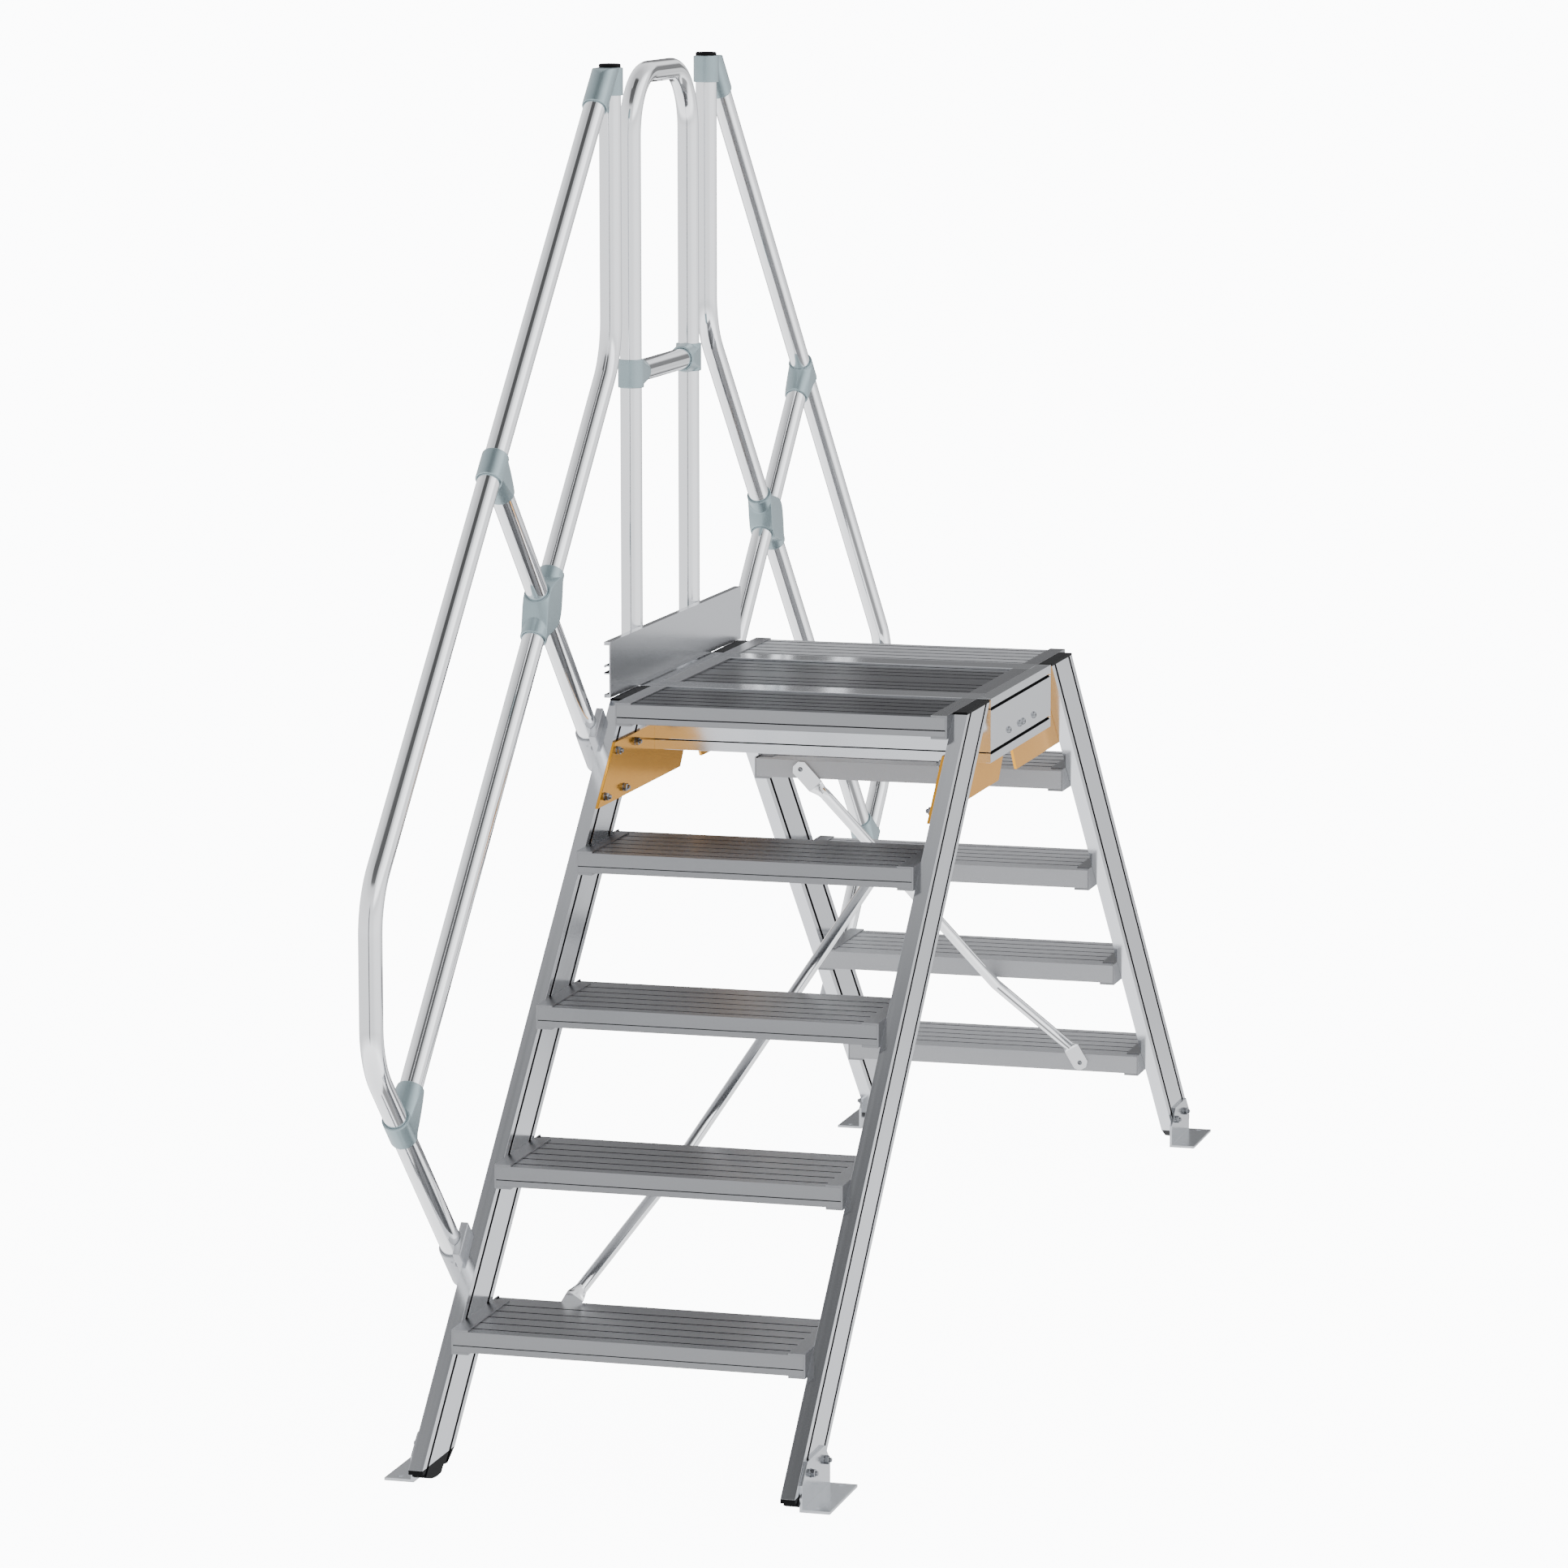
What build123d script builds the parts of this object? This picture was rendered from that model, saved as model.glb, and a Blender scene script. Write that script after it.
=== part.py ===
from build123d import *
import math
import os

os.makedirs("parts", exist_ok=True)

# Crossover step: two flights that meet at a platform, with rails along the left side.
# X runs along the treads, Y is the way across, Z is up. Millimetres.

# Flights
step_count = 5
step_rise = 232.5
step_run = 232.5
nose_overhang = 53.5

# Treads
tread_length = 615.0
tread_depth = 246.0
top_tread_depth = 225.0
tread_height = 35.5
tread_top_wall = 5.0
tread_wall = 2.5
groove_count = 5
groove_pitch = 42.0
groove_start = 27.0
groove_width = 4.0
groove_depth = 2.5
nose_line_drop = 24.0
nose_line_size = 1.4

# Channel brackets on the tread ends
bracket_web = 3.0
bracket_top = 3.0
bracket_bottom = 4.0
bracket_reach = 29.5
back_lip = 25.0

# Slotted profile of the stringers and platform beams
profile_width = 25.0
profile_height = 117.0
profile_wall = 2.5
slot_spacing = 80.0
slot_room_width = 13.0
slot_room_depth = 5.0

# Stringer ends
stringer_cut = 28.0
cap_height = 4.0
foot_lip_height = 7.5
foot_lip_depth = 18.0
foot_front_rise = 12.5
foot_low_line = 76.0
foot_heel = 97.0
foot_heel_rise = 1.5
foot_heel_slant = 6.0
foot_notch = 108.0
foot_notch_rise = 11.5
foot_lobe = 125.0
foot_lobe_rise = 8.0

# Floor anchors
anchor_plate = 5.0
anchor_reach = 52.0
anchor_length = 173.0
anchor_height = 77.0
anchor_shoulder = 45.0
anchor_corner = 34.0
anchor_hole = 9.0
anchor_hole_inset = 15.0
anchor_set_height = 58.0
anchor_bolt_height = 53.0
anchor_bolt_spacing = 85.0

# Platform
frame_depth = 468.0
frame_flange = 66.0
flange_height = 4.0
deck_flange = 33.0
deck_plank_count = 2
deck_gap = 0.5

# Gussets
gusset_plate = 5.0
gusset_top_rise = 47.5
gusset_drop = 57.5
gusset_lobe_rise = 64.0
gusset_lobe_gap = 4.0
gusset_tip_drop = 25.0
gusset_tip_slant = 66.0
gusset_bolt_inset = 16.0
beam_bolt_rise = 41.5
beam_bolt_inner = 13.0
beam_bolt_outer = 97.0
gusset_gap = 0.3

# Bolts
bolt_diameter = 8.0
bolt_play = 0.4
bolt_tail = 4.4
bolt_head = 3.5
nut_across = 13.0
nut_height = 8.0
flange_diameter = 15.6
flange_thickness = 1.5
button_diameter = 14.0
button_height = 4.4
button_taper = 30.0
screw_diameter = 6.0
screw_head_diameter = 10.0
screw_head_height = 4.0
screw_nut_across = 10.0
screw_nut_height = 5.0
round_sides = 12

# Braces
brace_diameter = 22.0
brace_gap = 3.0
brace_tab = 5.0
brace_tab_width = 32.0
brace_tab_end = 14.0
brace_tab_clip = 9.0
brace_head_height = 2.5
brace_top_x = 214.0
brace_upper_kink_x = 169.0
brace_lower_kink_x = -65.0
brace_foot_x = -186.0
brace_upper_drop = 48.0
brace_lower_rise = 202.0
brace_neck = 18.0
brace_bend = 12.0

# Rails
tube_diameter = 40.0
tube_wall = 2.5
rail_bend = 150.0
rail_standoff = 28.0
rail_foot_height = 297.0
rail_reach = 608.0
handrail_offset = 800.0
knee_offset = 420.0
post_drop = 92.5
upright_setback = 69.0
rail_top = 1127.5
plug_height = 7.0
plug_stem = 20.0

# Hoop
hoop_half_width = 183.0
hoop_bend = 115.0
hoop_top = 1111.5
hoop_bar = 567.5

# Cast fittings
sleeve_wall = 3.85
branch_wall = 3.2
fit_gap = 0.15
tube_end_gap = 3.0
tee_run = 55.0
tee_root = 64.0
tee_branch = 70.0
foot_tee_run = 58.0
foot_tee_root = 70.0
foot_tee_branch = 79.0
cross_run = 148.0
cross_branch = 40.0
hoop_tee_run = 52.0
hoop_tee_root = 62.0
hoop_tee_branch = 50.0
crown_height = 50.0
crown_sleeve = 97.0
crown_seat = 60.0
crown_shoulder = 30.0

# Sockets
socket_base = 14.0
socket_flange = 9.0
socket_edge = 0.5
socket_front = 22.0
socket_mouth_drop = 5.0
socket_tail = 42.0
socket_floor = 8.0

# Toe board
toe_height = 102.0
toe_length = 840.0
toe_rise = 2.0
toe_wall = 2.5
toe_lip = 6.5
toe_reach = 12.2
toe_channel = 16.5
toe_seat = 0.3
clamp_width = 20.0
clamp_wall = 2.5
clamp_foot = 18.0

# Values that follow from the sizes above
slope = math.atan2(step_rise, step_run)
along = (math.cos(slope), math.sin(slope))
away = (-math.sin(slope), math.cos(slope))
platform_height = step_count * step_rise
inner_x = tread_length / 2
outer_x = inner_x + profile_width
half_depth = frame_depth / 2
frame_bottom = platform_height - profile_height
slot_gap = bolt_diameter + bolt_play
slot_offset = slot_spacing / 2
bracket_height = bracket_top + tread_height + bracket_bottom
tube_radius = tube_diameter / 2
bore = tube_diameter + 2 * fit_gap
sleeve = bore + 2 * sleeve_wall
branch_sleeve = bore + 2 * branch_wall
rail_x = -(outer_x + rail_standoff)
upright_y = -(half_depth + upright_setback)
top_nose = -(half_depth + top_tread_depth)

parts = {}


# Plane geometry of a flight, as (y, z) pairs
def shift(point, direction, distance):
    return (point[0] + direction[0] * distance, point[1] + direction[1] * distance)


stringer_face = (top_nose + nose_overhang, platform_height)
stringer_mid = shift(stringer_face, away, -profile_height / 2)


def flight_at_height(height, offset):
    y, z = shift(stringer_mid, away, offset)
    return (y + (height - z) / math.tan(slope), height)


def flight_at_depth(depth, offset):
    y, z = shift(stringer_mid, away, offset)
    return (depth, z + (depth - y) * math.tan(slope))


def nose(level):
    return top_nose - (step_count - level) * step_run


# Solids from outlines and axes
def turned(shape):
    return Rot(0, 0, 180) * shape


def other_flight(shape):
    return mirror(shape, about=Plane.XZ)


def side_plate(outline, x_low, x_high):
    return extrude(Plane.YZ.offset(x_low) * make_face(Polyline(*outline, close=True)), amount=x_high - x_low)


def rod(start, end, diameter):
    axis = Vector(*end) - Vector(*start)
    return extrude(Plane(origin=start, z_dir=axis) * Circle(diameter / 2), amount=axis.length)


def block(low, high):
    size = [high[i] - low[i] for i in range(3)]
    middle = [(high[i] + low[i]) / 2 for i in range(3)]
    return Pos(*middle) * Box(*size)


def on_rail(point):
    return (rail_x, point[0], point[1])


# Slotted profile: x across its width, y across its height
def slot(side):
    lip = Pos(side * (profile_width - profile_wall) / 2, 0) * Rectangle(profile_wall, slot_gap)
    room_x = side * (profile_width / 2 - profile_wall - slot_room_depth / 2)
    return lip + Pos(room_x, 0) * Rectangle(slot_room_depth, slot_room_width)


def slotted_profile():
    section = Rectangle(profile_width, profile_height)
    for side in (-1, 1):
        for row in (-slot_offset, slot_offset):
            section -= Pos(0, row) * slot(side)
    room = profile_width - 2 * profile_wall
    middle_height = slot_spacing - slot_room_width - 2 * profile_wall
    section -= Rectangle(room, middle_height)
    end_low = slot_offset + slot_room_width / 2 + profile_wall
    end_high = profile_height / 2 - profile_wall
    for side in (-1, 1):
        section -= Pos(0, side * (end_low + end_high) / 2) * Rectangle(room, end_high - end_low)
    return section


# Fasteners stand on a plane that faces outwards from what they hold; their necks are square
def seat_plane(point, facing, x_dir):
    return Plane(origin=point, x_dir=x_dir, z_dir=facing)


def neck(low, high, size):
    return extrude(Plane.XY.offset(low) * Rectangle(size, size), amount=high - low)


def neck_hole(plane, low, high, size):
    width = size + bolt_play
    return extrude(plane.offset(low) * Rectangle(width, width), amount=high - low)


def round_head(seat, diameter, height, taper):
    outline = RegularPolygon(diameter / 2, round_sides)
    return extrude(Plane.XY.offset(seat) * outline, amount=height, taper=taper)


def nut(seat, facing, across, height):
    plane = Plane(origin=(0, 0, seat), z_dir=(0, 0, facing))
    return extrude(plane * RegularPolygon(across / 2, 6, major_radius=False), amount=height)


def slot_head(lip, room):
    width = room - 2 * bolt_play
    return extrude(Plane.XY.offset(-lip - bolt_head) * Rectangle(width, width), amount=bolt_head)


# Bolt whose head slides in a slot, with a nut outside
def hidden_bolt(plane, grip):
    bolt = slot_head(profile_wall, slot_room_width) + neck(-profile_wall, grip, bolt_diameter)
    return plane * (bolt + nut(grip, 1, nut_across, nut_height))


def slot_bolt(plane, lip, room, grip):
    bolt = slot_head(lip, room) + neck(-lip, grip, bolt_diameter)
    bolt += round_head(grip, flange_diameter, flange_thickness, 0) + nut(grip, 1, nut_across, nut_height)
    return plane * (bolt + round_head(grip + nut_height, bolt_diameter, bolt_tail, 0))


# Screw with a round head outside and a square nut in a slot
def slot_screw(plane, grip):
    head = round_head(grip, screw_head_diameter, screw_head_height, 0)
    shank = neck(-profile_wall, grip, screw_diameter)
    return plane * (slot_head(profile_wall, slot_room_width) + shank + head)


# Bolt right through a wall, button head on the wall and nut behind it
def through_bolt(plane, wall):
    button = round_head(0, button_diameter, button_height, button_taper)
    return plane * (button + neck(-wall, 0, bolt_diameter) + nut(-wall, -1, nut_across, nut_height))


# Screw with a low head on a brace's flat end and a nut inside the tread
def brace_screw(plane):
    head = round_head(brace_tab, screw_head_diameter, brace_head_height, button_taper)
    shank = neck(-tread_wall, brace_tab, screw_diameter)
    return plane * (head + shank + nut(-tread_wall, -1, screw_nut_across, screw_nut_height))


def stringer_seat(x, facing, point):
    return seat_plane((x, point[0], point[1]), (facing, 0, 0), (0, along[0], along[1]))


# Anchor bolts on the right: one in the rear slot and one through the wall, at one height
def anchor_bolt_seats():
    in_slot = flight_at_height(anchor_bolt_height, -slot_offset)
    in_wall = (in_slot[0] - anchor_bolt_spacing, anchor_bolt_height)
    return [stringer_seat(outer_x, 1, point) for point in (in_slot, in_wall)]


# Right stringer of the front flight
def stringer_plane(run):
    middle_x = inner_x + profile_width / 2
    start = shift(stringer_mid, along, -run)
    return Plane(origin=(middle_x, *start), x_dir=(1, 0, 0), z_dir=(0, along[0], along[1]))


def stringer():
    run = platform_height / math.sin(slope)
    bar = extrude(stringer_plane(run) * slotted_profile(), amount=2 * run)
    bar = split(bar, bisect_by=Plane.XY.offset(platform_height - cap_height), keep=Keep.BOTTOM)
    bar = split(bar, bisect_by=Plane.XY.offset(stringer_cut), keep=Keep.TOP)
    wall_seat = anchor_bolt_seats()[1]
    return bar - neck_hole(wall_seat, -2 * profile_wall, 0, bolt_diameter)


def cap():
    low = flight_at_height(platform_height - cap_height, profile_height / 2)[0]
    high = flight_at_height(platform_height - cap_height, -profile_height / 2)[0]
    plate = block((inner_x, low, platform_height - cap_height), (outer_x, high, platform_height))
    return chamfer(plate.edges().group_by(Axis.Z)[-1], cap_height / 4)


# Foot under the right stringer of the front flight: front lip, curved sole, notch, rear lobe
def foot():
    front = flight_at_height(stringer_cut, profile_height / 2)[0]
    back = flight_at_height(stringer_cut, -profile_height / 2)[0]
    lip = stringer_cut - foot_lip_height
    sole_front = (front + foot_lip_depth, foot_front_rise)
    low_line = (front + foot_low_line, 0)
    heel = (front + foot_heel, foot_heel_rise)
    notch = (front + foot_notch, foot_notch_rise)
    lobe = (front + foot_lobe, foot_lobe_rise)
    heel_top = (front + foot_heel + foot_heel_rise + foot_heel_slant / 2, foot_heel_rise + foot_heel_slant)
    edges = [
        Line((back, stringer_cut), (front, stringer_cut)),
        Line((front, stringer_cut), (front, lip)),
        Line((front, lip), (front + foot_lip_depth, lip)),
        Line((front + foot_lip_depth, lip), sole_front),
        TangentArc(low_line, sole_front, tangent=(-1, 0)),
        TangentArc(low_line, heel, tangent=(1, 0)),
        Polyline(heel, heel_top, notch, lobe, (back, stringer_cut)),
    ]
    plug_body = extrude(Plane.YZ.offset(inner_x) * make_face(edges), amount=profile_width)
    run = platform_height / math.sin(slope)
    plane = stringer_plane(run)
    for side in (-1, 1):
        for row in (-slot_offset, slot_offset):
            groove = Pos(side * (profile_width - profile_wall) / 2, row) * Rectangle(profile_wall, slot_gap)
            plug_body -= extrude(plane * groove, amount=2 * run)
    return plug_body


# Grooved hollow plank section, from its front edge backwards and its top face downwards
def plank_section(depth, grooves, with_nose_line):
    section = Pos(depth / 2, -tread_height / 2) * Rectangle(depth, tread_height)
    room_height = tread_height - tread_top_wall - tread_wall
    room_depth = (depth - 3 * tread_wall) / 2
    for room in (0, 1):
        room_y = tread_wall + room_depth / 2 + room * (room_depth + tread_wall)
        section -= Pos(room_y, -tread_top_wall - room_height / 2) * Rectangle(room_depth, room_height)
    for groove in grooves:
        section -= Pos(groove, -groove_depth / 2) * Rectangle(groove_width, groove_depth)
    if with_nose_line:
        section -= Pos(0, -nose_line_drop) * Rectangle(2 * nose_line_size, nose_line_size)
    return section


def plank(front, top, depth, grooves, with_nose_line):
    half = inner_x - bracket_web
    plane = Plane.YZ.offset(-half)
    section = Pos(front, top) * plank_section(depth, grooves, with_nose_line)
    return extrude(plane * section, amount=2 * half)


def tread_back(level):
    return (nose(level) + depth_of(level), level * step_rise - bracket_top - tread_height / 2)


def brace_seat(level, x):
    return seat_plane((x, *tread_back(level)), (0, 1, 0), (1, 0, 0))


def depth_of(level):
    return top_tread_depth if level == step_count else tread_depth


def tread(level):
    grooves = [groove_start + groove * groove_pitch for groove in range(groove_count)]
    board = plank(nose(level), level * step_rise - bracket_top, depth_of(level), grooves, True)
    for braced, x in ((1, brace_foot_x), (step_count - 1, brace_top_x)):
        if level == braced:
            board -= neck_hole(brace_seat(level, x), -2 * tread_wall, 0, screw_diameter)
    return board


def tread_bolt_seats(level):
    height = level * step_rise - bracket_height / 2
    points = [flight_at_height(height, side * slot_offset) for side in (-1, 1)]
    return [stringer_seat(inner_x, -1, point) for point in points]


# Channel that hooks over the right end of a tread
def tread_bracket(level):
    depth = depth_of(level)
    front = nose(level)
    top = level * step_rise
    bottom = top - bracket_height
    lip = 0 if level == step_count else back_lip
    reach_x = inner_x - bracket_reach
    channel = block((inner_x - bracket_web, front, bottom), (inner_x, front + depth, top))
    channel += block((reach_x, front, top - bracket_top), (inner_x, front + depth - lip, top))
    channel += block((reach_x, front, bottom), (inner_x, front + depth, bottom + bracket_bottom))
    for seat in tread_bolt_seats(level):
        channel -= neck_hole(seat, 0, bracket_web, bolt_diameter)
    return channel


# Floor anchor on the right of the front flight: an angle with a trimmed upright
def anchor():
    middle = flight_at_height(anchor_set_height, 0)[0]
    low = middle - anchor_length / 2
    high = middle + anchor_length / 2
    outline = [
        (low, 0),
        (high, 0),
        (high, anchor_shoulder),
        (high - anchor_corner, anchor_height),
        (low + anchor_corner, anchor_height),
        (low, anchor_shoulder),
    ]
    angle = side_plate(outline, outer_x, outer_x + anchor_plate)
    angle += block((outer_x, low, 0), (outer_x + anchor_reach, high, anchor_plate))
    for seat in anchor_bolt_seats():
        angle -= neck_hole(seat, 0, anchor_plate, bolt_diameter)
    hole_x = outer_x + (anchor_plate + anchor_reach) / 2
    for hole_y in (low + anchor_hole_inset, high - anchor_hole_inset):
        angle -= rod((hole_x, hole_y, 0), (hole_x, hole_y, anchor_plate), anchor_hole)
    return angle


# Bolts through the right side beam, front pair first
def beam_bolt_seats():
    rows = (-beam_bolt_outer, -beam_bolt_inner, beam_bolt_inner, beam_bolt_outer)
    height = frame_bottom + beam_bolt_rise
    return [seat_plane((outer_x, row, height), (1, 0, 0), (0, 1, 0)) for row in rows]


# Platform frame: beams mitred at the corners, their inner edges meet the deck
def side_beam():
    middle = (inner_x + profile_width / 2, -half_depth, frame_bottom + profile_height / 2)
    plane = Plane(origin=middle, x_dir=(1, 0, 0), z_dir=(0, 1, 0))
    bar = extrude(plane * slotted_profile(), amount=frame_depth)
    for end in (-1, 1):
        mitre = Plane(origin=(outer_x, end * half_depth, 0), z_dir=(1, -end, 0))
        bar = split(bar, bisect_by=mitre, keep=Keep.TOP)
    for seat in beam_bolt_seats():
        bar -= neck_hole(seat, -profile_width, 0, bolt_diameter)
    return bar


def cross_beam():
    middle_y = -half_depth + profile_width / 2
    plane = Plane(
        origin=(-outer_x, middle_y, frame_bottom + profile_height / 2), x_dir=(0, 1, 0), z_dir=(1, 0, 0)
    )
    bar = extrude(plane * slotted_profile(), amount=2 * outer_x)
    for side in (-1, 1):
        mitre = Plane(origin=(side * outer_x, -half_depth, 0), z_dir=(-side, -1, 0))
        bar = split(bar, bisect_by=mitre, keep=Keep.TOP)
    flange = block(
        (-inner_x, -half_depth + profile_width, platform_height - flange_height),
        (inner_x, -half_depth + frame_flange, platform_height),
    )
    return bar + flange


def deck_planks():
    reach = half_depth - profile_width - deck_gap
    depth = 2 * reach / deck_plank_count
    count = math.floor((depth - groove_width) / groove_pitch)
    first = (depth - (count - 1) * groove_pitch) / 2
    grooves = [first + groove * groove_pitch for groove in range(count)]
    top = platform_height - flange_height
    return [plank(-reach + row * depth, top, depth, grooves, False) for row in range(deck_plank_count)]


def deck_channel():
    reach = half_depth - profile_width - deck_gap
    flange_end = half_depth - frame_flange
    top = platform_height
    bottom = top - flange_height - tread_height - bracket_bottom
    edge_x = inner_x - deck_flange
    channel = block((inner_x - bracket_web, -reach, bottom), (inner_x, reach, top - flange_height))
    channel += block((edge_x, -flange_end, top - flange_height), (inner_x, flange_end, top))
    return channel + block((edge_x, -reach, bottom), (inner_x, reach, bottom + bracket_bottom))


# Gusset on the right of the front flight: flat plate on the inner faces, notched round the cross beam
gusset_top = frame_bottom + gusset_top_rise
gusset_bottom = frame_bottom - gusset_drop


def gusset_bolt_seats():
    heights = (gusset_bottom + gusset_bolt_inset, gusset_top - gusset_bolt_inset)
    points = [flight_at_height(height, side * slot_offset) for height in heights for side in (-1, 1)]
    return [stringer_seat(inner_x, -1, point) for point in points]


def gusset():
    face = profile_height / 2
    beam_front = -half_depth - gusset_gap
    beam_back = -half_depth + profile_width + gusset_gap
    below = frame_bottom - gusset_gap
    tip = (-gusset_lobe_gap, frame_bottom + gusset_tip_drop)
    outline = [
        flight_at_height(gusset_bottom, face),
        flight_at_height(gusset_top, face),
        (beam_front, gusset_top),
        (beam_front, below),
        (beam_back, below),
        (beam_back, frame_bottom + gusset_lobe_rise),
        (tip[0], frame_bottom + gusset_lobe_rise),
        tip,
        (tip[0] - gusset_tip_slant, gusset_bottom),
    ]
    plate = side_plate(outline, inner_x - gusset_plate, inner_x)
    for seat in gusset_bolt_seats():
        plate -= neck_hole(seat, 0, gusset_plate, bolt_diameter)
    for seat in beam_bolt_seats()[:2]:
        plate -= neck_hole(seat, -profile_width - gusset_plate, -profile_width, bolt_diameter)
    return plate


# Brace under the front flight: tube with two bends and flat ends on two treads' back faces
def brace_points():
    upper = tread_back(step_count - 1)
    lower = tread_back(1)
    corner = (upper[0], upper[1] - tread_height / 2)
    clear = shift(corner, away, -(brace_diameter / 2 + brace_gap))

    def under(height):
        return (clear[0] + (height - clear[1]) / math.tan(slope), height)

    upper_kink = under(upper[1] - brace_upper_drop)
    lower_kink = under(lower[1] + brace_lower_rise)
    return [
        Vector(brace_top_x, *upper),
        Vector(brace_upper_kink_x, *upper_kink),
        Vector(brace_lower_kink_x, *lower_kink),
        Vector(brace_foot_x, *lower),
    ]


def brace_end(bolt, kink):
    seat = bolt + Vector(0, brace_tab / 2, 0)
    lead = kink - seat
    down = Vector(lead.X, 0, lead.Z).normalized()
    tab_plane = Plane(origin=bolt, x_dir=down, z_dir=(0, 1, 0))
    across = Vector(0, 1, 0).cross(down)
    half = brace_tab_width / 2
    length = (tread_height / 2 + brace_gap + half * abs(across.Z)) / abs(down.Z)
    clipped = brace_tab_clip - brace_tab_end
    side = half - brace_tab_clip
    outline = [
        (length, -half),
        (length, half),
        (clipped, half),
        (-brace_tab_end, side),
        (-brace_tab_end, -side),
        (clipped, -half),
    ]
    tab = extrude(tab_plane * make_face(Polyline(*outline, close=True)), amount=brace_tab)
    start = seat + down * length
    neck_axis = kink - start
    end = start + neck_axis.normalized() * brace_neck
    flat = Plane(origin=start, x_dir=across, z_dir=down) * Rectangle(brace_tab_width, brace_tab)
    round_end = Plane(origin=end, x_dir=across, z_dir=neck_axis) * Circle(brace_diameter / 2)
    return tab + loft([flat.face(), round_end.face()]), end


def brace():
    upper, upper_kink, lower_kink, lower = brace_points()
    upper_tab, upper_start = brace_end(upper, upper_kink)
    lower_tab, lower_start = brace_end(lower, lower_kink)
    path = FilletPolyline(upper_start, upper_kink, lower_kink, lower_start, radius=brace_bend)
    section = Plane(origin=path @ 0, z_dir=path % 0) * Circle(brace_diameter / 2)
    body = sweep(section, path=path) + upper_tab + lower_tab
    for level, x in ((1, brace_foot_x), (step_count - 1, brace_top_x)):
        body -= neck_hole(brace_seat(level, x), 0, brace_tab, screw_diameter)
    return body


# Bent tube through corner points in the rails' upright plane
def tube(points, bend):
    corners = [on_rail(point) for point in points]
    path = FilletPolyline(*corners, radius=bend) if len(corners) > 2 else Line(*corners)
    section = Plane(origin=path @ 0, z_dir=path % 0) * (Circle(tube_radius) - Circle(tube_radius - tube_wall))
    return sweep(section, path=path)


rail_foot = flight_at_height(rail_foot_height, 0)
post_foot = flight_at_height(platform_height - post_drop, 0)
tube_seat = -socket_tail + socket_floor
knee_start = shift(rail_foot, away, knee_offset)
tee_point = shift(post_foot, away, handrail_offset)
cross_point = shift(post_foot, away, knee_offset)
crown_top = platform_height + rail_top
crown_axis = flight_at_height(crown_top, handrail_offset)
crown_rim = shift(crown_axis, along, -crown_sleeve)
clear_of_tube = tube_radius + tube_end_gap


def handrail():
    reach = shift(rail_foot, away, rail_reach)
    return tube(
        [
            shift(rail_foot, away, tube_seat),
            reach,
            flight_at_depth(reach[0], handrail_offset),
            shift(crown_rim, along, crown_seat),
        ],
        rail_bend,
    )


def knee_rail():
    corner = flight_at_depth(upright_y, knee_offset)
    return tube([shift(knee_start, along, clear_of_tube), corner, (upright_y, crown_top)], rail_bend)


def post_tubes():
    ends = (
        (tube_seat, knee_offset - clear_of_tube),
        (knee_offset + clear_of_tube, handrail_offset - clear_of_tube),
    )
    return [tube([shift(post_foot, away, low), shift(post_foot, away, high)], 0) for low, high in ends]


# Cast sleeve fittings on the rails; run and branch are (y, z) directions
def sleeve_rod(point, direction, low, high, diameter):
    return rod(on_rail(shift(point, direction, low)), on_rail(shift(point, direction, high)), diameter)


# Branch of a fitting: a cone that narrows from its root to a tube sleeve, flattened to the run's width
def flare(point, branch, root, length):
    cone = Plane(origin=on_rail(point), x_dir=(1, 0, 0), z_dir=(0, *branch)) * Cone(
        root / 2, branch_sleeve / 2, length, align=(Align.CENTER, Align.CENTER, Align.MIN)
    )
    return cone & (Pos(*on_rail(point)) * Box(sleeve, 2 * root, 2 * root + 2 * length))


def tee(point, run, run_length, root, branch, branch_length):
    body = sleeve_rod(point, run, -run_length / 2, run_length / 2, sleeve)
    body += flare(point, branch, root, branch_length)
    body -= sleeve_rod(point, run, -root, root, bore)
    return body - sleeve_rod(point, branch, tube_radius, branch_length, bore)


def reverse(direction):
    return (-direction[0], -direction[1])


# Cross fitting: long sleeve on the knee rail with a leaf-shaped flare to either side
def cross():
    body = sleeve_rod(cross_point, along, -cross_run / 2, cross_run / 2, sleeve)
    for side in (away, reverse(away)):
        body += flare(cross_point, side, cross_run, cross_branch)
    body -= sleeve_rod(cross_point, along, -cross_run, cross_run, bore)
    for side in (away, reverse(away)):
        body -= sleeve_rod(cross_point, side, tube_radius, cross_branch, bore)
    return body


# Crown fitting: upright sleeve and slanting sleeve under one flat top with a round shoulder
def crown():
    upright = (upright_y, crown_top)
    right = upright_y + sleeve
    shoulder = flight_at_height(crown_top, handrail_offset + branch_sleeve / 2)
    low = shift(shoulder, along, -2 * crown_sleeve)
    outline = make_face(Polyline((right, crown_top), shoulder, low, (right, low[1]), close=True))
    outline = fillet(outline.vertices().sort_by_distance((*shoulder, 0))[0], crown_shoulder)
    silhouette = extrude(Plane.YZ.offset(rail_x - sleeve) * outline, amount=2 * sleeve)
    upright_axis = Plane(origin=(rail_x, upright_y, 0), z_dir=(0, -1, 0))
    body = sleeve_rod(crown_rim, along, 0, 2 * crown_sleeve, branch_sleeve)
    body = split(body, bisect_by=upright_axis, keep=Keep.TOP)
    body += sleeve_rod(upright, (0, 1), -crown_height, 0, sleeve)
    body &= silhouette
    body -= sleeve_rod(upright, (0, 1), -2 * crown_height, crown_height, bore)
    return body - sleeve_rod(crown_rim, along, 0, crown_seat + tube_end_gap, bore)


# Socket on a slotted face: base plate with a blind sleeve, its mouth in the given direction
socket_half = sleeve / 2 + socket_flange


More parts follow.
